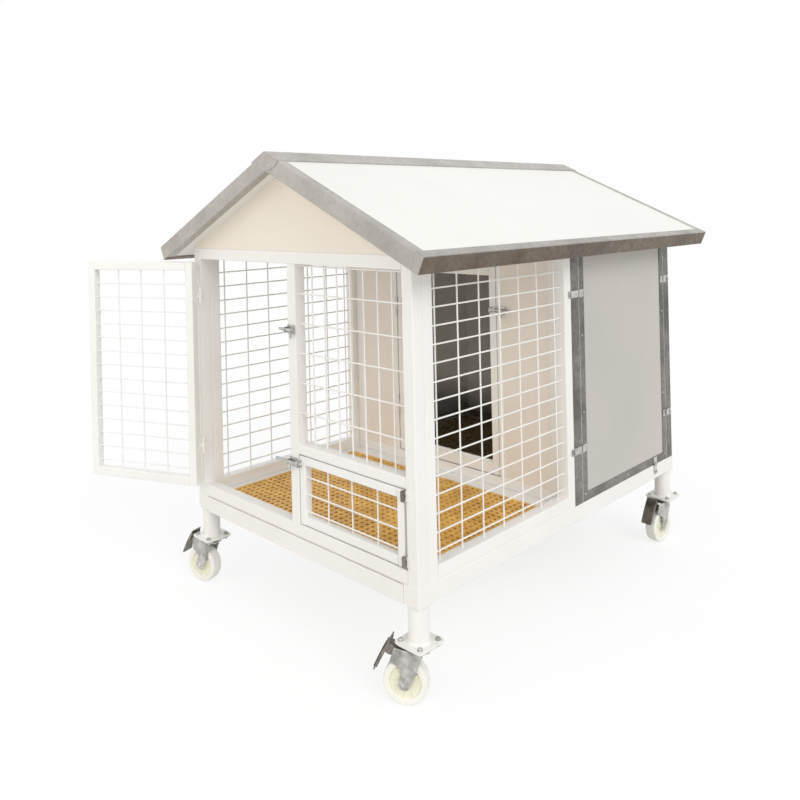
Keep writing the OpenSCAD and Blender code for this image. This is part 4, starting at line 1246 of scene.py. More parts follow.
@dataclass
class Room:
    """Sleeping room: galvanised posts and channels round insulated panels."""

    panel: float = 0.050
    corner: float = 0.0028
    bend: float = 0.0022
    gap: float = 0.0002
    seam: float = 0.0014

    def build(self) -> None:
        """Builds posts, channels and sealing lines and finishes the panels."""
        p, posts, folds, lines = PLAN, Form(), Form(), Form()
        hw, d = p.half_width, self.panel
        posts.twins((hw - p.tube, p.stile_rear, p.deck), (hw, p.post_rear, p.top), 2, self.corner)
        posts.twins((hw - d, p.panel_rear, p.deck), (hw, p.half_depth, p.top), 2, self.corner)
        posts.piece("room_post_tubes", KENNEL, ZINC, "room_posts")
        for s in (-1, 1):
            self.frame(folds, lambda u, a, z, s=s: Vector((s * (hw - u), a, z)), p.post_rear, p.panel_rear)
        self.frame(folds, lambda u, a, z: Vector((a, p.half_depth - u, z)), -hw + d, hw - d)
        folds.piece("panel_channel_folds", KENNEL, ZINC, "panel_channels")
        for s in (-1, 1):
            for y in (p.post_rear, p.panel_rear):
                x, heights = s * (hw - 0.0012), (p.deck + 0.002, (p.deck + p.top) / 2, p.top - 0.002)
                lines.bent_rod([(x, y, z) for z in heights], self.seam, 8)
        lines.piece("seam_lines", KENNEL, BRIGHT)
        dress(PANEL, "side_panels", "rear_panel")

    def frame(self, f: Form, place: Placing3, a0: float, a1: float) -> None:
        """Adds four mitred channels.

        Args:
            f: Form of all the channels.
            place: Puts (depth, along, up) into the frame.
            a0: First edge along the wall.
            a1: Last edge along the wall.
        """
        p = PLAN
        h, w, d = p.sheet / 2, p.flange, self.panel
        z0, z1, gap, bend = p.deck, p.top, self.gap, self.bend
        section = [(h, w), (h, h), (d - h, h), (d - h, w)]
        for e, i in ((a0, 1), (a1, -1)):
            f.fold(
                section, p.sheet,
                lambda u, r, e=e, i=i: place(u, e + i * r, z0 + r + gap),
                lambda u, r, e=e, i=i: place(u, e + i * r, z1 - r - gap), bend,
            )
        for e, i in ((z0, 1), (z1, -1)):
            f.fold(
                section, p.sheet,
                lambda u, r, e=e, i=i: place(u, a0 + r + gap, e + i * r),
                lambda u, r, e=e, i=i: place(u, a1 - r - gap, e + i * r), bend,
            )


@dataclass
class Roof:
    """Two insulated slopes with eave and verge trims, the ridge cap and the rivets."""

    cap_width: float = 0.074
    plate_drop: float = 0.059
    eave_bend: float = 0.0022
    verge_bend: float = 0.0028
    cap_bend: float = 0.0035
    hem: float = 0.0016

    def build(self) -> None:
        """Builds trims and cap and finishes slopes and gables."""
        dress(ROOF, "roof_panel_right", "roof_panel_left")
        dress(GABLE, "gables")
        dress(WHITE, "ridge_beam")
        self.eaves()
        self.verges()
        self.cap()
        self.rivets()

    def at(self, side: int, run: float, lift: float, y: float) -> Vector:
        """Point on one slope, side 1 being the right-hand one."""
        x, z = PLAN.on_slope(run, lift)
        return Vector((side * x, y, z))

    def eaves(self) -> None:
        """Folded channels along both eaves: faces darkened with painted shade and a painted reflection of the
        ground, and paler top lips.
        """
        p, faces, lips = PLAN, Form(), Form()
        h, end, lift, inset = p.sheet / 2, p.roof_run, p.roof_thick, p.sheet + 0.0003
        face = [(end - p.lip, -h), (end + h, -h), (end + h, lift + h - 0.0022)]
        lip = [(end + h, lift - 0.0014), (end + h, lift + h), (end - p.lip, lift + h)]
        for form, section in ((faces, face), (lips, lip)):
            for s in (-1, 1):
                form.fold(
                    section, p.sheet, lambda u, v, s=s: self.at(s, u, v, p.roof_front + inset),
                    lambda u, v, s=s: self.at(s, u, v, p.roof_rear - inset), self.eave_bend,
                )
        # The eave faces carry painted shade; the lips keep the paler zinc.
        faces.piece("eave_folds", KENNEL, EAVE_SHADE_ZINC, "eave_channels")
        lips.piece("eave_lips", KENNEL, LIP_ZINC)

    def verges(self) -> None:
        """Folded trims over both ends, butted at the ridge, and the corner pieces."""
        p, f = PLAN, Form()
        h, lift, stop, end = p.sheet / 2, p.roof_thick, p.roof_run - p.lip, p.roof_run + p.sheet
        corner = [(stop, -h), (end, -h), (end, lift + h), (stop, lift + h)]
        for web, into in ((p.roof_front, 1), (p.roof_rear, -1)):
            near, far = web + into * h, web + into * (p.lip + p.sheet)
            section = [(-h, far), (-h, near), (lift + h, near), (lift + h, far)]
            for s in (-1, 1):
                f.fold(
                    section, p.sheet, lambda v, y, s=s: self.at(s, p.ridge_run(v) + 0.0002, v, y),
                    lambda v, y, s=s: self.at(s, stop - 0.0003, v, y), self.verge_bend,
                )
                f.loft([[self.at(s, u, v, y) for u, v in corner] for y in sorted((web, web + into * p.sheet))])
        f.piece("verge_folds", KENNEL, VERGE_ZINC, "verge_channels")

    def cap(self) -> None:
        """Ridge cap with hemmed edges and a shaped plate at both ends."""
        p, f = PLAN, Form()
        base = p.roof_thick + p.sheet
        mid, edge = base + p.sheet / 2, self.cap_width + p.ridge_run(base)
        y0, y1 = p.roof_front - p.sheet, p.roof_rear + p.sheet
        tip, hem = p.on_slope(edge - 0.001, mid), p.on_slope(edge - 0.001, base - self.hem)
        crown = (0.0, p.on_slope(p.ridge_run(mid), mid)[1])
        section = [(-hem[0], hem[1]), (-tip[0], tip[1]), crown, tip, hem]
        f.fold_on(section, p.sheet, upright(0, 0, 0), -y0, -y1, self.cap_bend)
        apex = p.on_slope(p.ridge_run(base), base)[1]
        (tx, tz), drop = p.on_slope(edge, base), apex - self.plate_drop
        half = [
            (tx, tz - 0.0002), (tx - 0.001, tz - 0.004), (tx - 0.009, tz - 0.013), (0.038, drop + 0.0055),
            (0.033, drop + 0.0028), (0.018, drop),
        ]
        outline = half + [(-x, z) for x, z in reversed(half)] + [(0.0, apex - 0.0004)]
        for y in (y0 + p.sheet, y1):
            f.plate(outline, p.sheet, upright(0, y, 0), 0.0005)
        f.piece("ridge_cap_fold", KENNEL, VERGE_ZINC, "ridge_cap")

    def rivets(self) -> None:
        """Domed rivets on side channels, eaves and cap plates."""
        p, f = PLAN, Form()
        h, low = p.top - p.deck, p.deck + p.flange / 2
        y0, y1 = p.post_rear + p.flange / 2, p.panel_rear - p.flange / 2
        spots = [
            (y0, p.top - h * 0.361), (y0, p.top - h * 0.656), (y0, low + 0.010),
            (y1, p.top - h * 0.339), (y1, p.top - h * 0.702), (y1, low + 0.008), ((y0 + y1) / 2, low),
        ]
        run, lift = p.roof_run - 0.014, p.roof_thick + p.sheet
        for s in (-1, 1):
            for y, z in spots:
                f.dome((s * p.half_width, y, z), (s, 0, 0))
            for share in (0.22, 0.56, 0.78):
                y = p.roof_front + (p.roof_rear - p.roof_front) * share
                f.dome(self.at(s, run, lift, y), (s * math.sin(p.slope), 0, math.cos(p.slope)))
            f.dome((s * 0.022, p.roof_front - p.sheet, p.ridge + 0.012), (0, -1, 0))
        f.piece("rivet_heads", KENNEL, BRIGHT, "rivets")


@dataclass
class FloorGrid:
    """Moulded floor with rows of square holes and a closed rim."""

    name: str
    node: str
    y0: float
    y1: float
    finish: Finish
    pitch_x: float = 0.0256
    pitch_y: float = 0.0235
    hole: float = 0.0150
    thick: float = 0.012
    edge: float = 0.0012
    margin: float = 0.016
    gap: float = 0.0006

    def stations(self, low: float, high: float, pitch: float) -> tuple[list[float], list[bool]]:
        """Splits one direction into bars and holes.

        Args:
            low: First edge.
            high: Last edge.
            pitch: Spacing of the holes.

        Returns:
            The cut positions, and for each strip between them whether it is a row of holes.
        """
        count = math.floor((high - low - self.margin - self.hole) / pitch) + 1
        start = (low + high) / 2 - ((count - 1) * pitch + self.hole) / 2
        cuts = [low + self.gap]
        for k in range(count):
            cuts += [start + k * pitch, start + k * pitch + self.hole]
        return [*cuts, high - self.gap], [False, True] * count + [False]

    def build(self) -> None:
        """Builds the grid."""
        f = Form()
        xs, across = self.stations(-PLAN.rail_inner, PLAN.rail_inner, self.pitch_x)
        ys, along = self.stations(self.y0, self.y1, self.pitch_y)
        top, e, new = PLAN.deck, self.edge, f.bm.faces.new
        verts: dict[tuple[int, int, int], bmesh.types.BMVert] = {}

        def point(i: int, j: int, layer: int) -> bmesh.types.BMVert:
            """Finds or makes a vertex of the lattice.

            Args:
                i: Place across.
                j: Place along.
                layer: 0 for the top, 1 for the underside.

            Returns:
                The vertex.
            """
            key = (i, j, layer)
            if key not in verts:
                verts[key] = f.bm.verts.new((xs[i], ys[j], top - layer * self.thick))
            return verts[key]

        for i, hole_x in enumerate(across):
            for j, hole_y in enumerate(along):
                corners = [(i, j), (i + 1, j), (i + 1, j + 1), (i, j + 1)]
                if not (hole_x and hole_y):
                    new([point(a, b, 0) for a, b in corners])
                    new([point(a, b, 1) for a, b in reversed(corners)])
                    continue
                rim, foot = ([point(a, b, layer) for a, b in corners] for layer in (0, 1))
                inner = [
                    f.bm.verts.new((xs[a] - dx * e, ys[b] - dy * e, top - e))
                    for (a, b), (dx, dy) in zip(corners, ((-1, -1), (1, -1), (1, 1), (-1, 1)))
                ]
                for k in range(4):
                    n = (k + 1) % 4
                    new((rim[n], rim[k], inner[k], inner[n]))
                    new((inner[n], inner[k], foot[k], foot[n]))
        last_x, last_y = len(xs) - 1, len(ys) - 1
        border = [(i, 0) for i in range(last_x)] + [(last_x, j) for j in range(last_y)]
        border += [(i, last_y) for i in range(last_x, 0, -1)] + [(0, j) for j in range(last_y, 0, -1)]
        for (a, b), (c, d) in zip(border, border[1:] + border[:1]):
            new((point(a, b, 1), point(c, d, 1), point(c, d, 0), point(a, b, 0)))
        f.piece(self.name, KENNEL, self.finish, self.node, smooth=30.0)


@dataclass
class Hinge:
    """Butt hinge on a 4 mm pin; the pin stands at the origin and the wall face at y = 7 mm."""

    height: float
    fixed_leaf: float
    moving_leaf: float
    pin: float = 0.004
    knuckle: float = 0.0065
    leaf: float = 0.003
    face: float = 0.007
    gap: float = 0.0003
    neck: float = 0.0024

    def plate(self, f: Form, at: Matrix, mid: float, width: float, face: float, off: float) -> None:
        """Adds a leaf and its two screws.

        Args:
            f: Form that takes them.
            at: Placing of the pin's middle.
            mid: Middle of the leaf.
            width: Width of the leaf.
            face: Depth of the leaf's back.
            off: Distance of the screws from its middle.
        """
        f.plate(rounded_rect(width, self.height, 0.0025, 3), self.leaf, at @ upright(mid, face, 0), 0.0005)
        for z in (-self.height * 0.30, self.height * 0.30):
            f.turned(HINGE_SCREW, at @ upright(mid + off, face - self.leaf, z), 20)

    def half(self, f: Form, at: Matrix, barrels: Form, fixed: bool) -> None:
        """Adds one half of the hinge.

        Args:
            f: Form that takes the leaf.
            at: Placing of the pin's middle.
            barrels: Form that takes the knuckles, and the pin of the fixed half.
            fixed: Whether it is the half on the wall, which has two knuckles and the pin.
        """
        third, gap, r, face = self.height / 3, self.gap, self.pin, self.face
        if fixed:
            spans, bore, mid = (third / 2 + gap, -self.height / 2), r - 0.0002, -0.0069
            neck = [(-0.0075, face - 0.0018), (-0.0030, face - 0.0018), (-0.0012, 0.0035)]
        else:
            face += 0.001
            spans, bore, mid = (gap / 2 - third / 2,), r + 0.0001, 0.008
            neck = [(0.0012, 0.0042), (0.0040, face - 0.0019), (0.0090, face - 0.0019)]
        for z0 in spans:
            z1 = z0 + third - gap
            barrels.sleeve(at, bore, self.knuckle, z0, z1, 0.0007)
            f.fold_on(neck, self.neck, at, z0 + 0.0002, z1 - 0.0002, 0.002)
        if not fixed:
            self.plate(f, at, mid + self.moving_leaf / 2, self.moving_leaf, face, 0.001)
            return
        top, width = self.height / 2 + 0.002, self.fixed_leaf - 0.0009
        barrels.turned([(r - 0.0008, -top), (r, -top + 0.0008), (r, top - 0.0008), (r - 0.0008, top)], at, 24)
        self.plate(f, at, mid - width / 2, width, face, -0.001)


@dataclass
class Latch:
    """Slide bolt: a plate with two eyes, a rod with a knob, and the staple on the door."""

    x: float
    face: float
    z: float
    rod_from: float
    rod_to: float
    knob: float
    rod: float = 0.005
    off: float = 0.012
    span: float = 0.038
    tall: float = 0.030
    thick: float = 0.003
    screw_in: float = 0.0125
    screw_up: float = 0.0108
    eye: float = 0.005
    staple: float = 0.006

    def at(self) -> Matrix:
        """Placing of the housing's left end on its wall face."""
        return shift(self.x, self.face, self.z)

    def eye_block(self, f: Form, x0: float) -> None:
        """Adds an eye of the housing: a block rounded round the rod, with the rod's hole.

        Args:
            f: Form that takes it.
            x0: Its left face, from the housing's end.
        """
        outer = []
        r, bore, back = self.rod + 0.003, self.rod + 0.0001, self.off - 0.0025
        for y, z in circle(1.0, 24):
            if y <= 0:
                outer.append((y * r, z * r))
            elif abs(z) <= 0.69:
                outer.append((back, z / 0.69 * r))
            else:
                outer.append((back * y / 0.7238, math.copysign(r, z)))
        inner, e, x1 = circle(bore, 24), 0.0005, x0 + self.eye
        rings = [
            [self.at() @ Vector((x, -self.off + a * shrink, b * shrink)) for a, b in ring]
            for ring, x, shrink in (
                (inner, x0, 1.0), (outer, x0, 0.95), (outer, x0 + e, 1.0),
                (outer, x1 - e, 1.0), (outer, x1, 0.95), (inner, x1, 1.0),
            )
        ]
        f.loft(rings, wrap=True)

    def keeper(self, x0: float) -> Form:
        """Makes the staple on the door that the rod slides into.

        Args:
            x0: Its left face.

        Returns:
            The staple with the welds at its feet, drawn with the door shut.
        """
        f, slot, x1 = Form(), self.rod + 0.0008, x0 + self.staple
        deep, out, half = self.off + slot, self.off + slot + 0.0022, slot + 0.0040
        upper = [
            (0.0009, half), (-out + 0.0042, half), (-out + 0.0020, half - 0.0006),
            (-out + 0.0006, half - 0.0020), (-out, half - 0.0042),
        ]
        inner = [
            (0.0009, slot), (-deep + 0.0018, slot), (-deep + 0.0005, slot - 0.0005), (-deep, slot - 0.0018),
        ]
        outline = upper + mirrored(upper) + [(y, -z) for y, z in inner] + inner[::-1]
        f.plate(outline, x1 - x0, sideways(x0, self.face, self.z), 0.0005)
        y = self.face + 0.0006
        for z in (self.z - half, self.z + half):
            f.bead((x0 + 0.0004, y, z), (x1 - 0.0004, y, z), 0.0014)
        return f

    def housing(self, f: Form) -> None:
        """Adds the plate, its two eyes and four screws.

        Args:
            f: Form that takes them.
        """
        plate, middle = rounded_rect(self.span, self.tall, 0.003, 3), upright(self.span / 2, 0, 0)
        f.plate(plate, self.thick, self.at() @ middle, 0.0006)
        for x in (0.0, self.span - self.eye):
            self.eye_block(f, x)
        for x in (self.screw_in, self.span - self.screw_in):
            for z in (-self.screw_up, self.screw_up):
                f.turned(LATCH_SCREW, self.at() @ upright(x, -self.thick, z), 16)

    def bolt(self, key: str) -> None:
        """Builds the rod with its knob.

        Args:
            key: Name of the door.
        """
        f, y = Form(), self.face - self.off
        f.rod((self.x + self.rod_from, y, self.z), (self.x + self.rod_to, y, self.z), self.rod, 32, 0.0012)
        drop = facing((self.x + self.knob, y, self.z), DOWN, (0, 1, 0))
        f.turned([
            (0.0030, 0.0), (0.0030, 0.0100), (0.0032, 0.0112), (0.0035, 0.0130), (0.0035, 0.0225),
            (0.0033, 0.0245), (0.0026, 0.0256), (0.0014, 0.0260),
        ], drop, 24)
        f.turned([(0.0048, 0.0040), (0.0048, 0.0058), (0.0040, 0.0066), (0.0030, 0.0066)], drop, 24)
        f.piece(key + "_bolt_rod", key + "_bolt", BRIGHT, key + "_latch_bolt")


@dataclass
class Door:
    """Hinged door: a frame of four tubes with its hinge halves and the latch's staple."""

    key: str
    low: Triple
    high: Triple
    tube: float
    bottom: float
    hinge: Hinge
    latch: Latch
    heights: tuple[float, float]
    pin_at: tuple[float, float]
    staple_x: float
    finish: Finish = WIRE_WHITE
    open_degrees: float = 0.0
    handed: int = 1

    def pin(self, z: float) -> Matrix:
        """Placing of the hinge pin at a height, mirrored for a leaf on its left."""
        return shift(*self.pin_at, z) @ Matrix.Diagonal((self.handed, 1, 1, 1))

    @property
    def window(self) -> tuple[float, float, float, float]:
        """Left, right, lower and upper edge of the opening in the frame."""
        (x0, _, z0), (x1, _, z1) = self.low, self.high
        return x0 + self.tube, x1 - self.tube, z0 + self.bottom, z1 - self.tube

    @property
    def swing(self) -> Matrix:
        """The turn from shut to rest about the pins."""
        return shift(*self.pin_at, 0) @ turn(self.open_degrees, "Z") @ shift(*self.pin_at, 0).inverted()

    def fill(self, f: Form) -> None:
        """Adds to the door's form what stands in its window; each kind of door says what."""
        raise NotImplementedError(self.key)

    def build(self) -> None:
        """Builds the door as it stands at rest."""
        (_, y0, z0), (_, y1, z1), f = self.low, self.high, Form()
        wx0, wx1, wz0, wz1 = self.window
        f.beam(self.low, (wx0, y1, z1), 2)
        f.beam((wx1, y0, z0), self.high, 2)
        f.beam((wx0, y0, z0), (wx1, y1, wz0), 0)
        f.beam((wx0, y0, wz1), (wx1, y1, z1), 0)
        f.beads((wx0, wx1), (wz0, wz1), y0, y1, 0.0015)
        self.fill(f)
        # The feed door (handed -1) gets its knuckles in a form of their own with the dark finish, which is
        # painted shade.
        body, barrels = self.key + "_door", Form() if self.handed < 0 else f
        for z in self.heights:
            self.hinge.half(f, self.pin(z), barrels, False)
        f.place(self.swing).piece(body + "_leaf", body, self.finish, body)
        if barrels is not f:
            barrels.place(self.swing).piece(self.key + "_hinge_knuckles_painted_shade", body, DARK)
        staple = self.latch.keeper(self.staple_x).place(self.swing)
        staple.piece(self.key + "_staple", body, BRIGHT, self.key + "_keeper")


@dataclass
class NetDoor(Door):
    """Door of the yard with a net of three uprights in the middle of its frame."""

    first_row: float = 0.026
    spare: float = 0.046
    pitch_up: float = 0.051
    pitch_along: float = 0.1015

    def fill(self, f: Form) -> None:
        """Adds the net.

        Args:
            f: Form of the door.
        """
        x0, x1, z0, z1 = self.window
        centre, pitch, mid = (x0 + x1) / 2, self.pitch_along, (self.low[1] + self.high[1]) / 2
        WireNet().build(
            f, lambda a, d, z: Vector((a, mid - d, z)), [centre - pitch, centre, centre + pitch],
            net_rows(z0, z1, self.first_row, self.spare, self.pitch_up, 1), self.window,
        )


@dataclass
class InnerDoor(Door):
    """Door of the sleeping room with a clear pane in beads."""

    bead_depths: tuple[float, float] = (0.0100, 0.0172)
    bead_thick: float = 0.0028
    bead_in: float = 0.007
    bead_out: float = 0.001
    pane_depth: float = 0.017
    pane_thick: float = 0.004

    def build(self) -> None:
        """Builds the door as it stands at rest, then its pane."""
        super().build()
        x0, x1, z0, z1 = self.window
        pane, seat = Form(), upright((x0 + x1) / 2, self.low[1] + self.pane_depth, (z0 + z1) / 2)
        pane.plate(rounded_rect(x1 - x0, z1 - z0, 0.001, 1), self.pane_thick, seat)
        pane.piece("inner_door_sheet", "inner_door", CLEAR, "inner_door_pane")

    def fill(self, f: Form) -> None:
        """Adds the glazing beads.

        Args:
            f: Form of the door.
        """
        x0, x1, z0, z1 = self.window
        into, out, stop = self.bead_in, self.bead_out, self.bead_in - 0.0002
        for depth in self.bead_depths:
            near = self.low[1] + depth
            far = near + self.bead_thick
            for a, b in ((z0 - out, z0 + into), (z1 - into, z1 + out)):
                f.beam((x0, near, a), (x1, far, b), 0, 0.001)
            for a, b in ((x0 - out, x0 + into), (x1 - into, x1 + out)):
                f.beam((a, near, z0 + stop), (b, far, z1 - stop), 2, 0.001)


@dataclass
class Hasp:
    """Hasp on a side wall: fixed half with a staple, and the strap that drops over it."""

    key: str
    side: int
    y: float
    z: float
    reach: float
    lay: Matrix
    knuckle: float = 0.0035
    pin_off: float = 0.004
    staple_half: float = 0.0042
    slot: float = 0.0090
    thick: float = 0.002

    def at(self) -> Matrix:
        """Placing with X out of the wall and the strap along -Y."""
        return Matrix.Diagonal((self.side, 1, 1, 1)) @ shift(PLAN.half_width, self.y, self.z) @ self.lay

    def fixed(self, f: Form) -> None:
        """Adds leaf, two outer knuckles, pin, staple and three screws.

        Args:
            f: Form that takes them.
        """
        at, r, reach = self.at(), self.staple_half, self.reach
        for middle, (wide, high, corner, steps), thick in (
            (0.0151, (0.0218, 0.026, 0.003, 3), self.thick), (-reach, (0.0110, 0.0150, 0.002, 2), 0.0009),
        ):
            leaf = [(y + middle, z) for y, z in rounded_rect(wide, high, corner, steps)]
            f.plate(leaf, thick, at @ sideways(0, 0, 0), 0.0004)
        for z in (-0.013, 0.005):
            neck = [(0.0012, 0.0060), (0.0012, 0.0018), (0.0022, -0.0012)]
            f.fold_on(neck, 0.0020, at, z + 0.0002, z + 0.0078, 0.001)
            f.sleeve(at @ shift(self.pin_off, 0, z), 0.0014, self.knuckle, 0, 0.008, 0.0004)
        pin = [(0.0013, -0.0132), (0.0015, -0.0128), (0.0015, 0.0128), (0.0013, 0.0132)]
        f.turned(pin, at @ shift(self.pin_off, 0, 0), 16)
        turns = [math.pi * k / 12 for k in range(13)]
        arch = [(0.0064 + 0.0034 * math.sin(t), -reach, -r * math.cos(t)) for t in turns]
        path = [(-0.0005, -reach, -r), *arch, (-0.0005, -reach, r)]
        f.bent_rod([at @ Vector(point) for point in path], 0.0015, 10)
        for y, z in ((0.0100, -0.0075), (0.0100, 0.0075), (0.0200, 0.0)):
            f.turned(HASP_SCREW, at @ shift(self.thick, y, z) @ turn(90, "Y"), 16)

    def strap(self) -> None:
        """Builds the strap with its slot as a piece of its own."""
        f, at, slot = Form(), self.at(), self.slot
        f.sleeve(at @ shift(self.pin_off, 0, -0.0047), 0.0016, self.knuckle, 0, 0.0094, 0.0004)
        neck = [(0.0028, -0.0012), (0.0020, -0.0035), (0.0020, -0.0060)]
        f.fold_on(neck, 0.0019, at, -0.0046, 0.0046, 0.001)
        seat, y1, join = at @ sideways(0.001, 0, 0), -0.0045, -self.reach + 0.0085
        wide, narrow = rounded_rect(slot + 0.011, 0.024, 0.004, 3), rounded_rect(slot, 0.018, 0.002, 3)
        f.ring_plate(wide, narrow, self.thick, seat @ shift(-self.reach, 0, 0))
        if y1 - join > 0.002:
            half = [(join, -0.012), (y1 - 0.002, -0.012), (y1, -0.010)]
            f.plate(half + mirrored(half), 0.0019, seat @ shift(0, 0, 0.00005), 0.0003)
        name = "hasp_{}_{}".format("r" if self.side > 0 else "l", self.key)
        f.piece(name + "_strap", name, BRIGHT, name)


@dataclass
class Tray:
    """Waste tray: folded pan with a front plate that closes the ring."""

    half: float = 0.477
    front: float = -0.743
    rear: float = -0.052
    low: float = 0.278
    high: float = 0.309
    sheet: float = 0.002
    bend: float = 0.003
    plate: tuple[Triple, Triple] = ((-0.4925, -0.747, 0.272), (0.4925, -0.742, 0.324))
    grip: tuple[Triple, Triple] = ((-0.090, -0.7485, 0.2725), (0.090, -0.7465, 0.2780))

    def build(self) -> None:
        """Builds the pan and its plate with the grip under it."""
        f, h, low, high = Form(), self.half, self.low, self.high
        section = [(-h, high), (-h, low), (h, low), (h, high)]
        f.fold_on(section, self.sheet, upright(0, 0, 0), -self.front, -self.rear, self.bend)
        f.beam((-h, self.rear - self.sheet, low), (h, self.rear, high), 0, 0.0009)
        f.beam(*self.plate, 0, 0.0015, 0.0010)
        f.beam(*self.grip, 0, 0.0009)
        f.piece("tray_pan", "tray", WHITE, "waste_tray")


@dataclass
class Studio:
    """Floor, light and camera at the photograph's view."""

    eye: Triple = (1.9850, -2.2358, 1.3456)
    yaw: float = 44.636
    roll: float = -1.302
    lens: float = 34.97
    shift_up: float = -0.239
    floor_size: float = 16.0
    floor_cells: int = 24

    def build(self) -> None:
        """Sets up floor, world, lamps, camera and view transform."""
        self.ground()
        self.world()
        self.lamps()
        self.camera()
        bpy.context.scene.view_settings.view_transform = "Standard"

    def ground(self) -> None:
        """Wide floor."""
        f, cells, size = Form(), self.floor_cells, self.floor_size
        marks = [size * (i / cells - 0.5) for i in range(cells + 1)]
        grid = [[f.bm.verts.new((x, y, 0.0)) for y in marks] for x in marks]
        for near, far in zip(grid, grid[1:]):
            for a, b, c, d in zip(near, far, far[1:], near[1:]):
                f.bm.faces.new((a, b, c, d))
        f.to_object("studio_ground", FLOOR)

    def world(self) -> None:
        """White to the eye and in reflections, a plain grey as a light."""
        world = bpy.data.worlds.new("studio_air")
        bpy.context.scene.world = world
        nodes = Nodes(world)
        light = nodes.add("Background", Color=(0.97, 0.985, 1.0, 1.0), Strength=0.76)
        seen = nodes.add("Background", Color=(1.0, 1.0, 1.0, 1.0), Strength=1.0)
        nodes.shown(light.outputs[0], seen.outputs[0], "OutputWorld")

    def lamps(self) -> None:
        """One high soft sun from the right and a low warm fill from the front."""
        for name, strength, colour, aim, spread in (
            ("sun_right", 1.00, (1.0, 0.995, 0.99), (-0.80, 0.18, -0.58), 35.0),
            ("fill_front", 0.62, (1.0, 0.89, 0.75), (0.12, 0.95, -0.25), 60.0),
        ):
            lamp = bpy.data.lights.new(name, "SUN")
            lamp.energy, lamp.color, lamp.angle = strength, colour, math.radians(spread)
            holder = bpy.data.objects.new(name, lamp)
            holder.rotation_euler = Vector(aim).to_track_quat("-Z", "Y").to_euler()
            bpy.context.scene.collection.objects.link(holder)

    def camera(self) -> None:
        """Camera with the photograph's place, roll, lens and shift."""
        data = bpy.data.cameras.new("view_of_photo")
        data.lens, data.sensor_width, data.shift_y = self.lens, 36.0, self.shift_up
        data.clip_start, data.clip_end = 0.05, 60.0
        yaw, roll = math.radians(self.yaw), math.radians(self.roll)
        ahead = Vector((-math.sin(yaw), math.cos(yaw), 0))
        right, up = Vector((math.cos(yaw), math.sin(yaw), 0)), Vector(UP)
        across = right * math.cos(roll) + up * math.sin(roll)
        upward = up * math.cos(roll) - right * math.sin(roll)
        eye = bpy.data.objects.new("view_of_photo", data)
        eye.matrix_world = columns(across, upward, -ahead, self.eye)
        bpy.context.scene.collection.objects.link(eye)
        bpy.context.scene.camera = eye


def doors() -> list[Door]:
    """Lists the three doors with their hinges and latches.

    Returns:
        Front, feed and inner door.
    """
    wall = -PLAN.half_depth
    return [
        NetDoor(
            "front", (-0.495, -0.744, 0.372), (-0.029, -0.714, 1.172), 0.030, 0.030, Hinge(0.058, 0.024, 0.022),
            Latch(0.004, wall, 0.975, -0.028, 0.045, 0.0287), (1.050, 0.511), (-0.502, wall - 0.007), -0.040,
            open_degrees=-156.0,
        ),
        NetDoor(
            "feed", (0.047, -0.744, 0.372), (0.500, -0.717, 0.584), 0.026, 0.026, Hinge(0.027, 0.020, 0.018),
            Latch(0.004, wall, 0.560, -0.059, 0.040, 0.0093), (0.570, 0.392), (0.505, wall - 0.007), 0.052,
            handed=-1, first_row=0.015, spare=0.035, pitch_up=0.053, pitch_along=0.108,
        ),
        InnerDoor(
            "inner", (-0.261, 0.011, 0.368), (0.243, 0.041, 1.130), 0.030, 0.040, Hinge(0.074, 0.015, 0.020),
            Latch(0.249, PLAN.partition, 0.971, -0.003, 0.060, 0.0287), (0.949, 0.549),
            (-0.263, PLAN.partition - 0.007), 0.226, WHITE,
        ),
    ]


def hang_doors() -> None:
    """Builds the doors, the fixed hinge halves and the latches."""
    pins, dark, plates, made = Form(), Form(), Form(), doors()
    for door in made:
        door.build()
    for door in made:
        for z in door.heights:
            # The feed door's knuckles and pins go to the dark form: painted shade.
            door.hinge.half(pins, door.pin(z), dark if door.handed < 0 else pins, True)
        door.latch.housing(plates)
    pins.piece("hinge_leaves", KENNEL, WHITE, "hinge_pins")
    dark.piece("feed_hinge_pins_painted_shade", KENNEL, DARK)
    plates.piece("latch_plates", KENNEL, BRIGHT, "latch_housings")
    for door in made:
        door.latch.bolt(door.key)


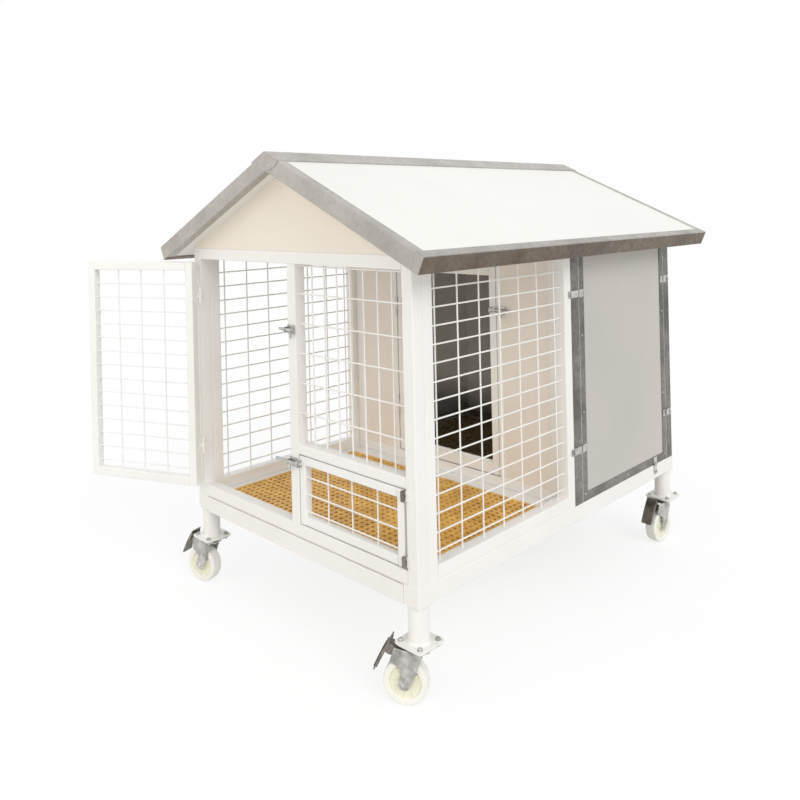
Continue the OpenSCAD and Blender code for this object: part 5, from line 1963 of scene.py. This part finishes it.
def hasps() -> None:
    """Builds all ten hasps, five on each long wall."""
    p, fixed = PLAN, Form()
    plain, turned_back, hanging = Matrix.Identity(4), Matrix.Diagonal((1, -1, 1, 1)), turn(90, "X")
    high, low = p.top - 0.177, p.deck + 0.184
    for side in (1, -1):
        for key, y, z, reach, lay in (
            ("front_top", p.post_rear, high, 0.057, plain),
            ("front_low", p.post_rear, low, 0.057, plain),
            ("rear_top", p.panel_rear, high, 0.027, turned_back),
            ("rear_low", p.panel_rear, low, 0.027, turned_back),
            ("foot", p.panel_rear - 0.100, p.deck + 0.004, 0.030, hanging),
        ):
            hasp = Hasp(key, side, y, z, reach, lay)
            hasp.fixed(fixed)
            hasp.strap()
    fixed.piece("hasp_leaves", KENNEL, BRIGHT, "hasp_plates")


def casters() -> None:
    """Builds the four casters with their plates and bolts."""
    plates, bolts = Form(), Form()
    for key, sx, sy, degrees in (
        ("fr", 1, -1, 210.0), ("fl", -1, -1, 195.0), ("rr", 1, 1, 266.0), ("rl", -1, 1, 235.0),
    ):
        caster = Caster(key, (sx * PLAN.leg_x, sy * PLAN.leg_y), degrees)
        caster.plate_parts(plates, bolts)
        caster.build()
    plates.piece("caster_top_plates", KENNEL, CASTER_ZINC, "caster_plates")
    bolts.piece("caster_bolt_set", KENNEL, CASTER_ZINC, "caster_bolts")


def side_walls() -> None:
    """Builds both side walls of the yard."""
    tubes, nets = Form(), Form()
    for side in (1, -1):
        SideWall(side).build(tubes, nets)
    tubes.piece("side_wall_tubes", KENNEL, WHITE, "side_frames")
    nets.piece("side_nets", KENNEL, WIRE_WHITE, "side_meshes")


def main() -> None:
    """Builds every sub-assembly, then the studio, and notes the sizes."""
    logging.basicConfig(level=logging.INFO, format="%(name)s: %(message)s")
    p = PLAN
    Base().build()
    casters()
    FrontWall().build()
    side_walls()
    Partition().build()
    Room().build()
    Roof().build()
    FloorGrid("yard_floor", "floor_grid_yard", -p.half_depth + p.rail, p.cross_front, SLATS).build()
    FloorGrid("room_floor", "floor_grid_room", p.cross_rear, p.half_depth - p.rail, ROOM_SLATS).build()
    hang_doors()
    hasps()
    Tray().build()
    Studio().build()


if __name__ == "__main__":
    main()
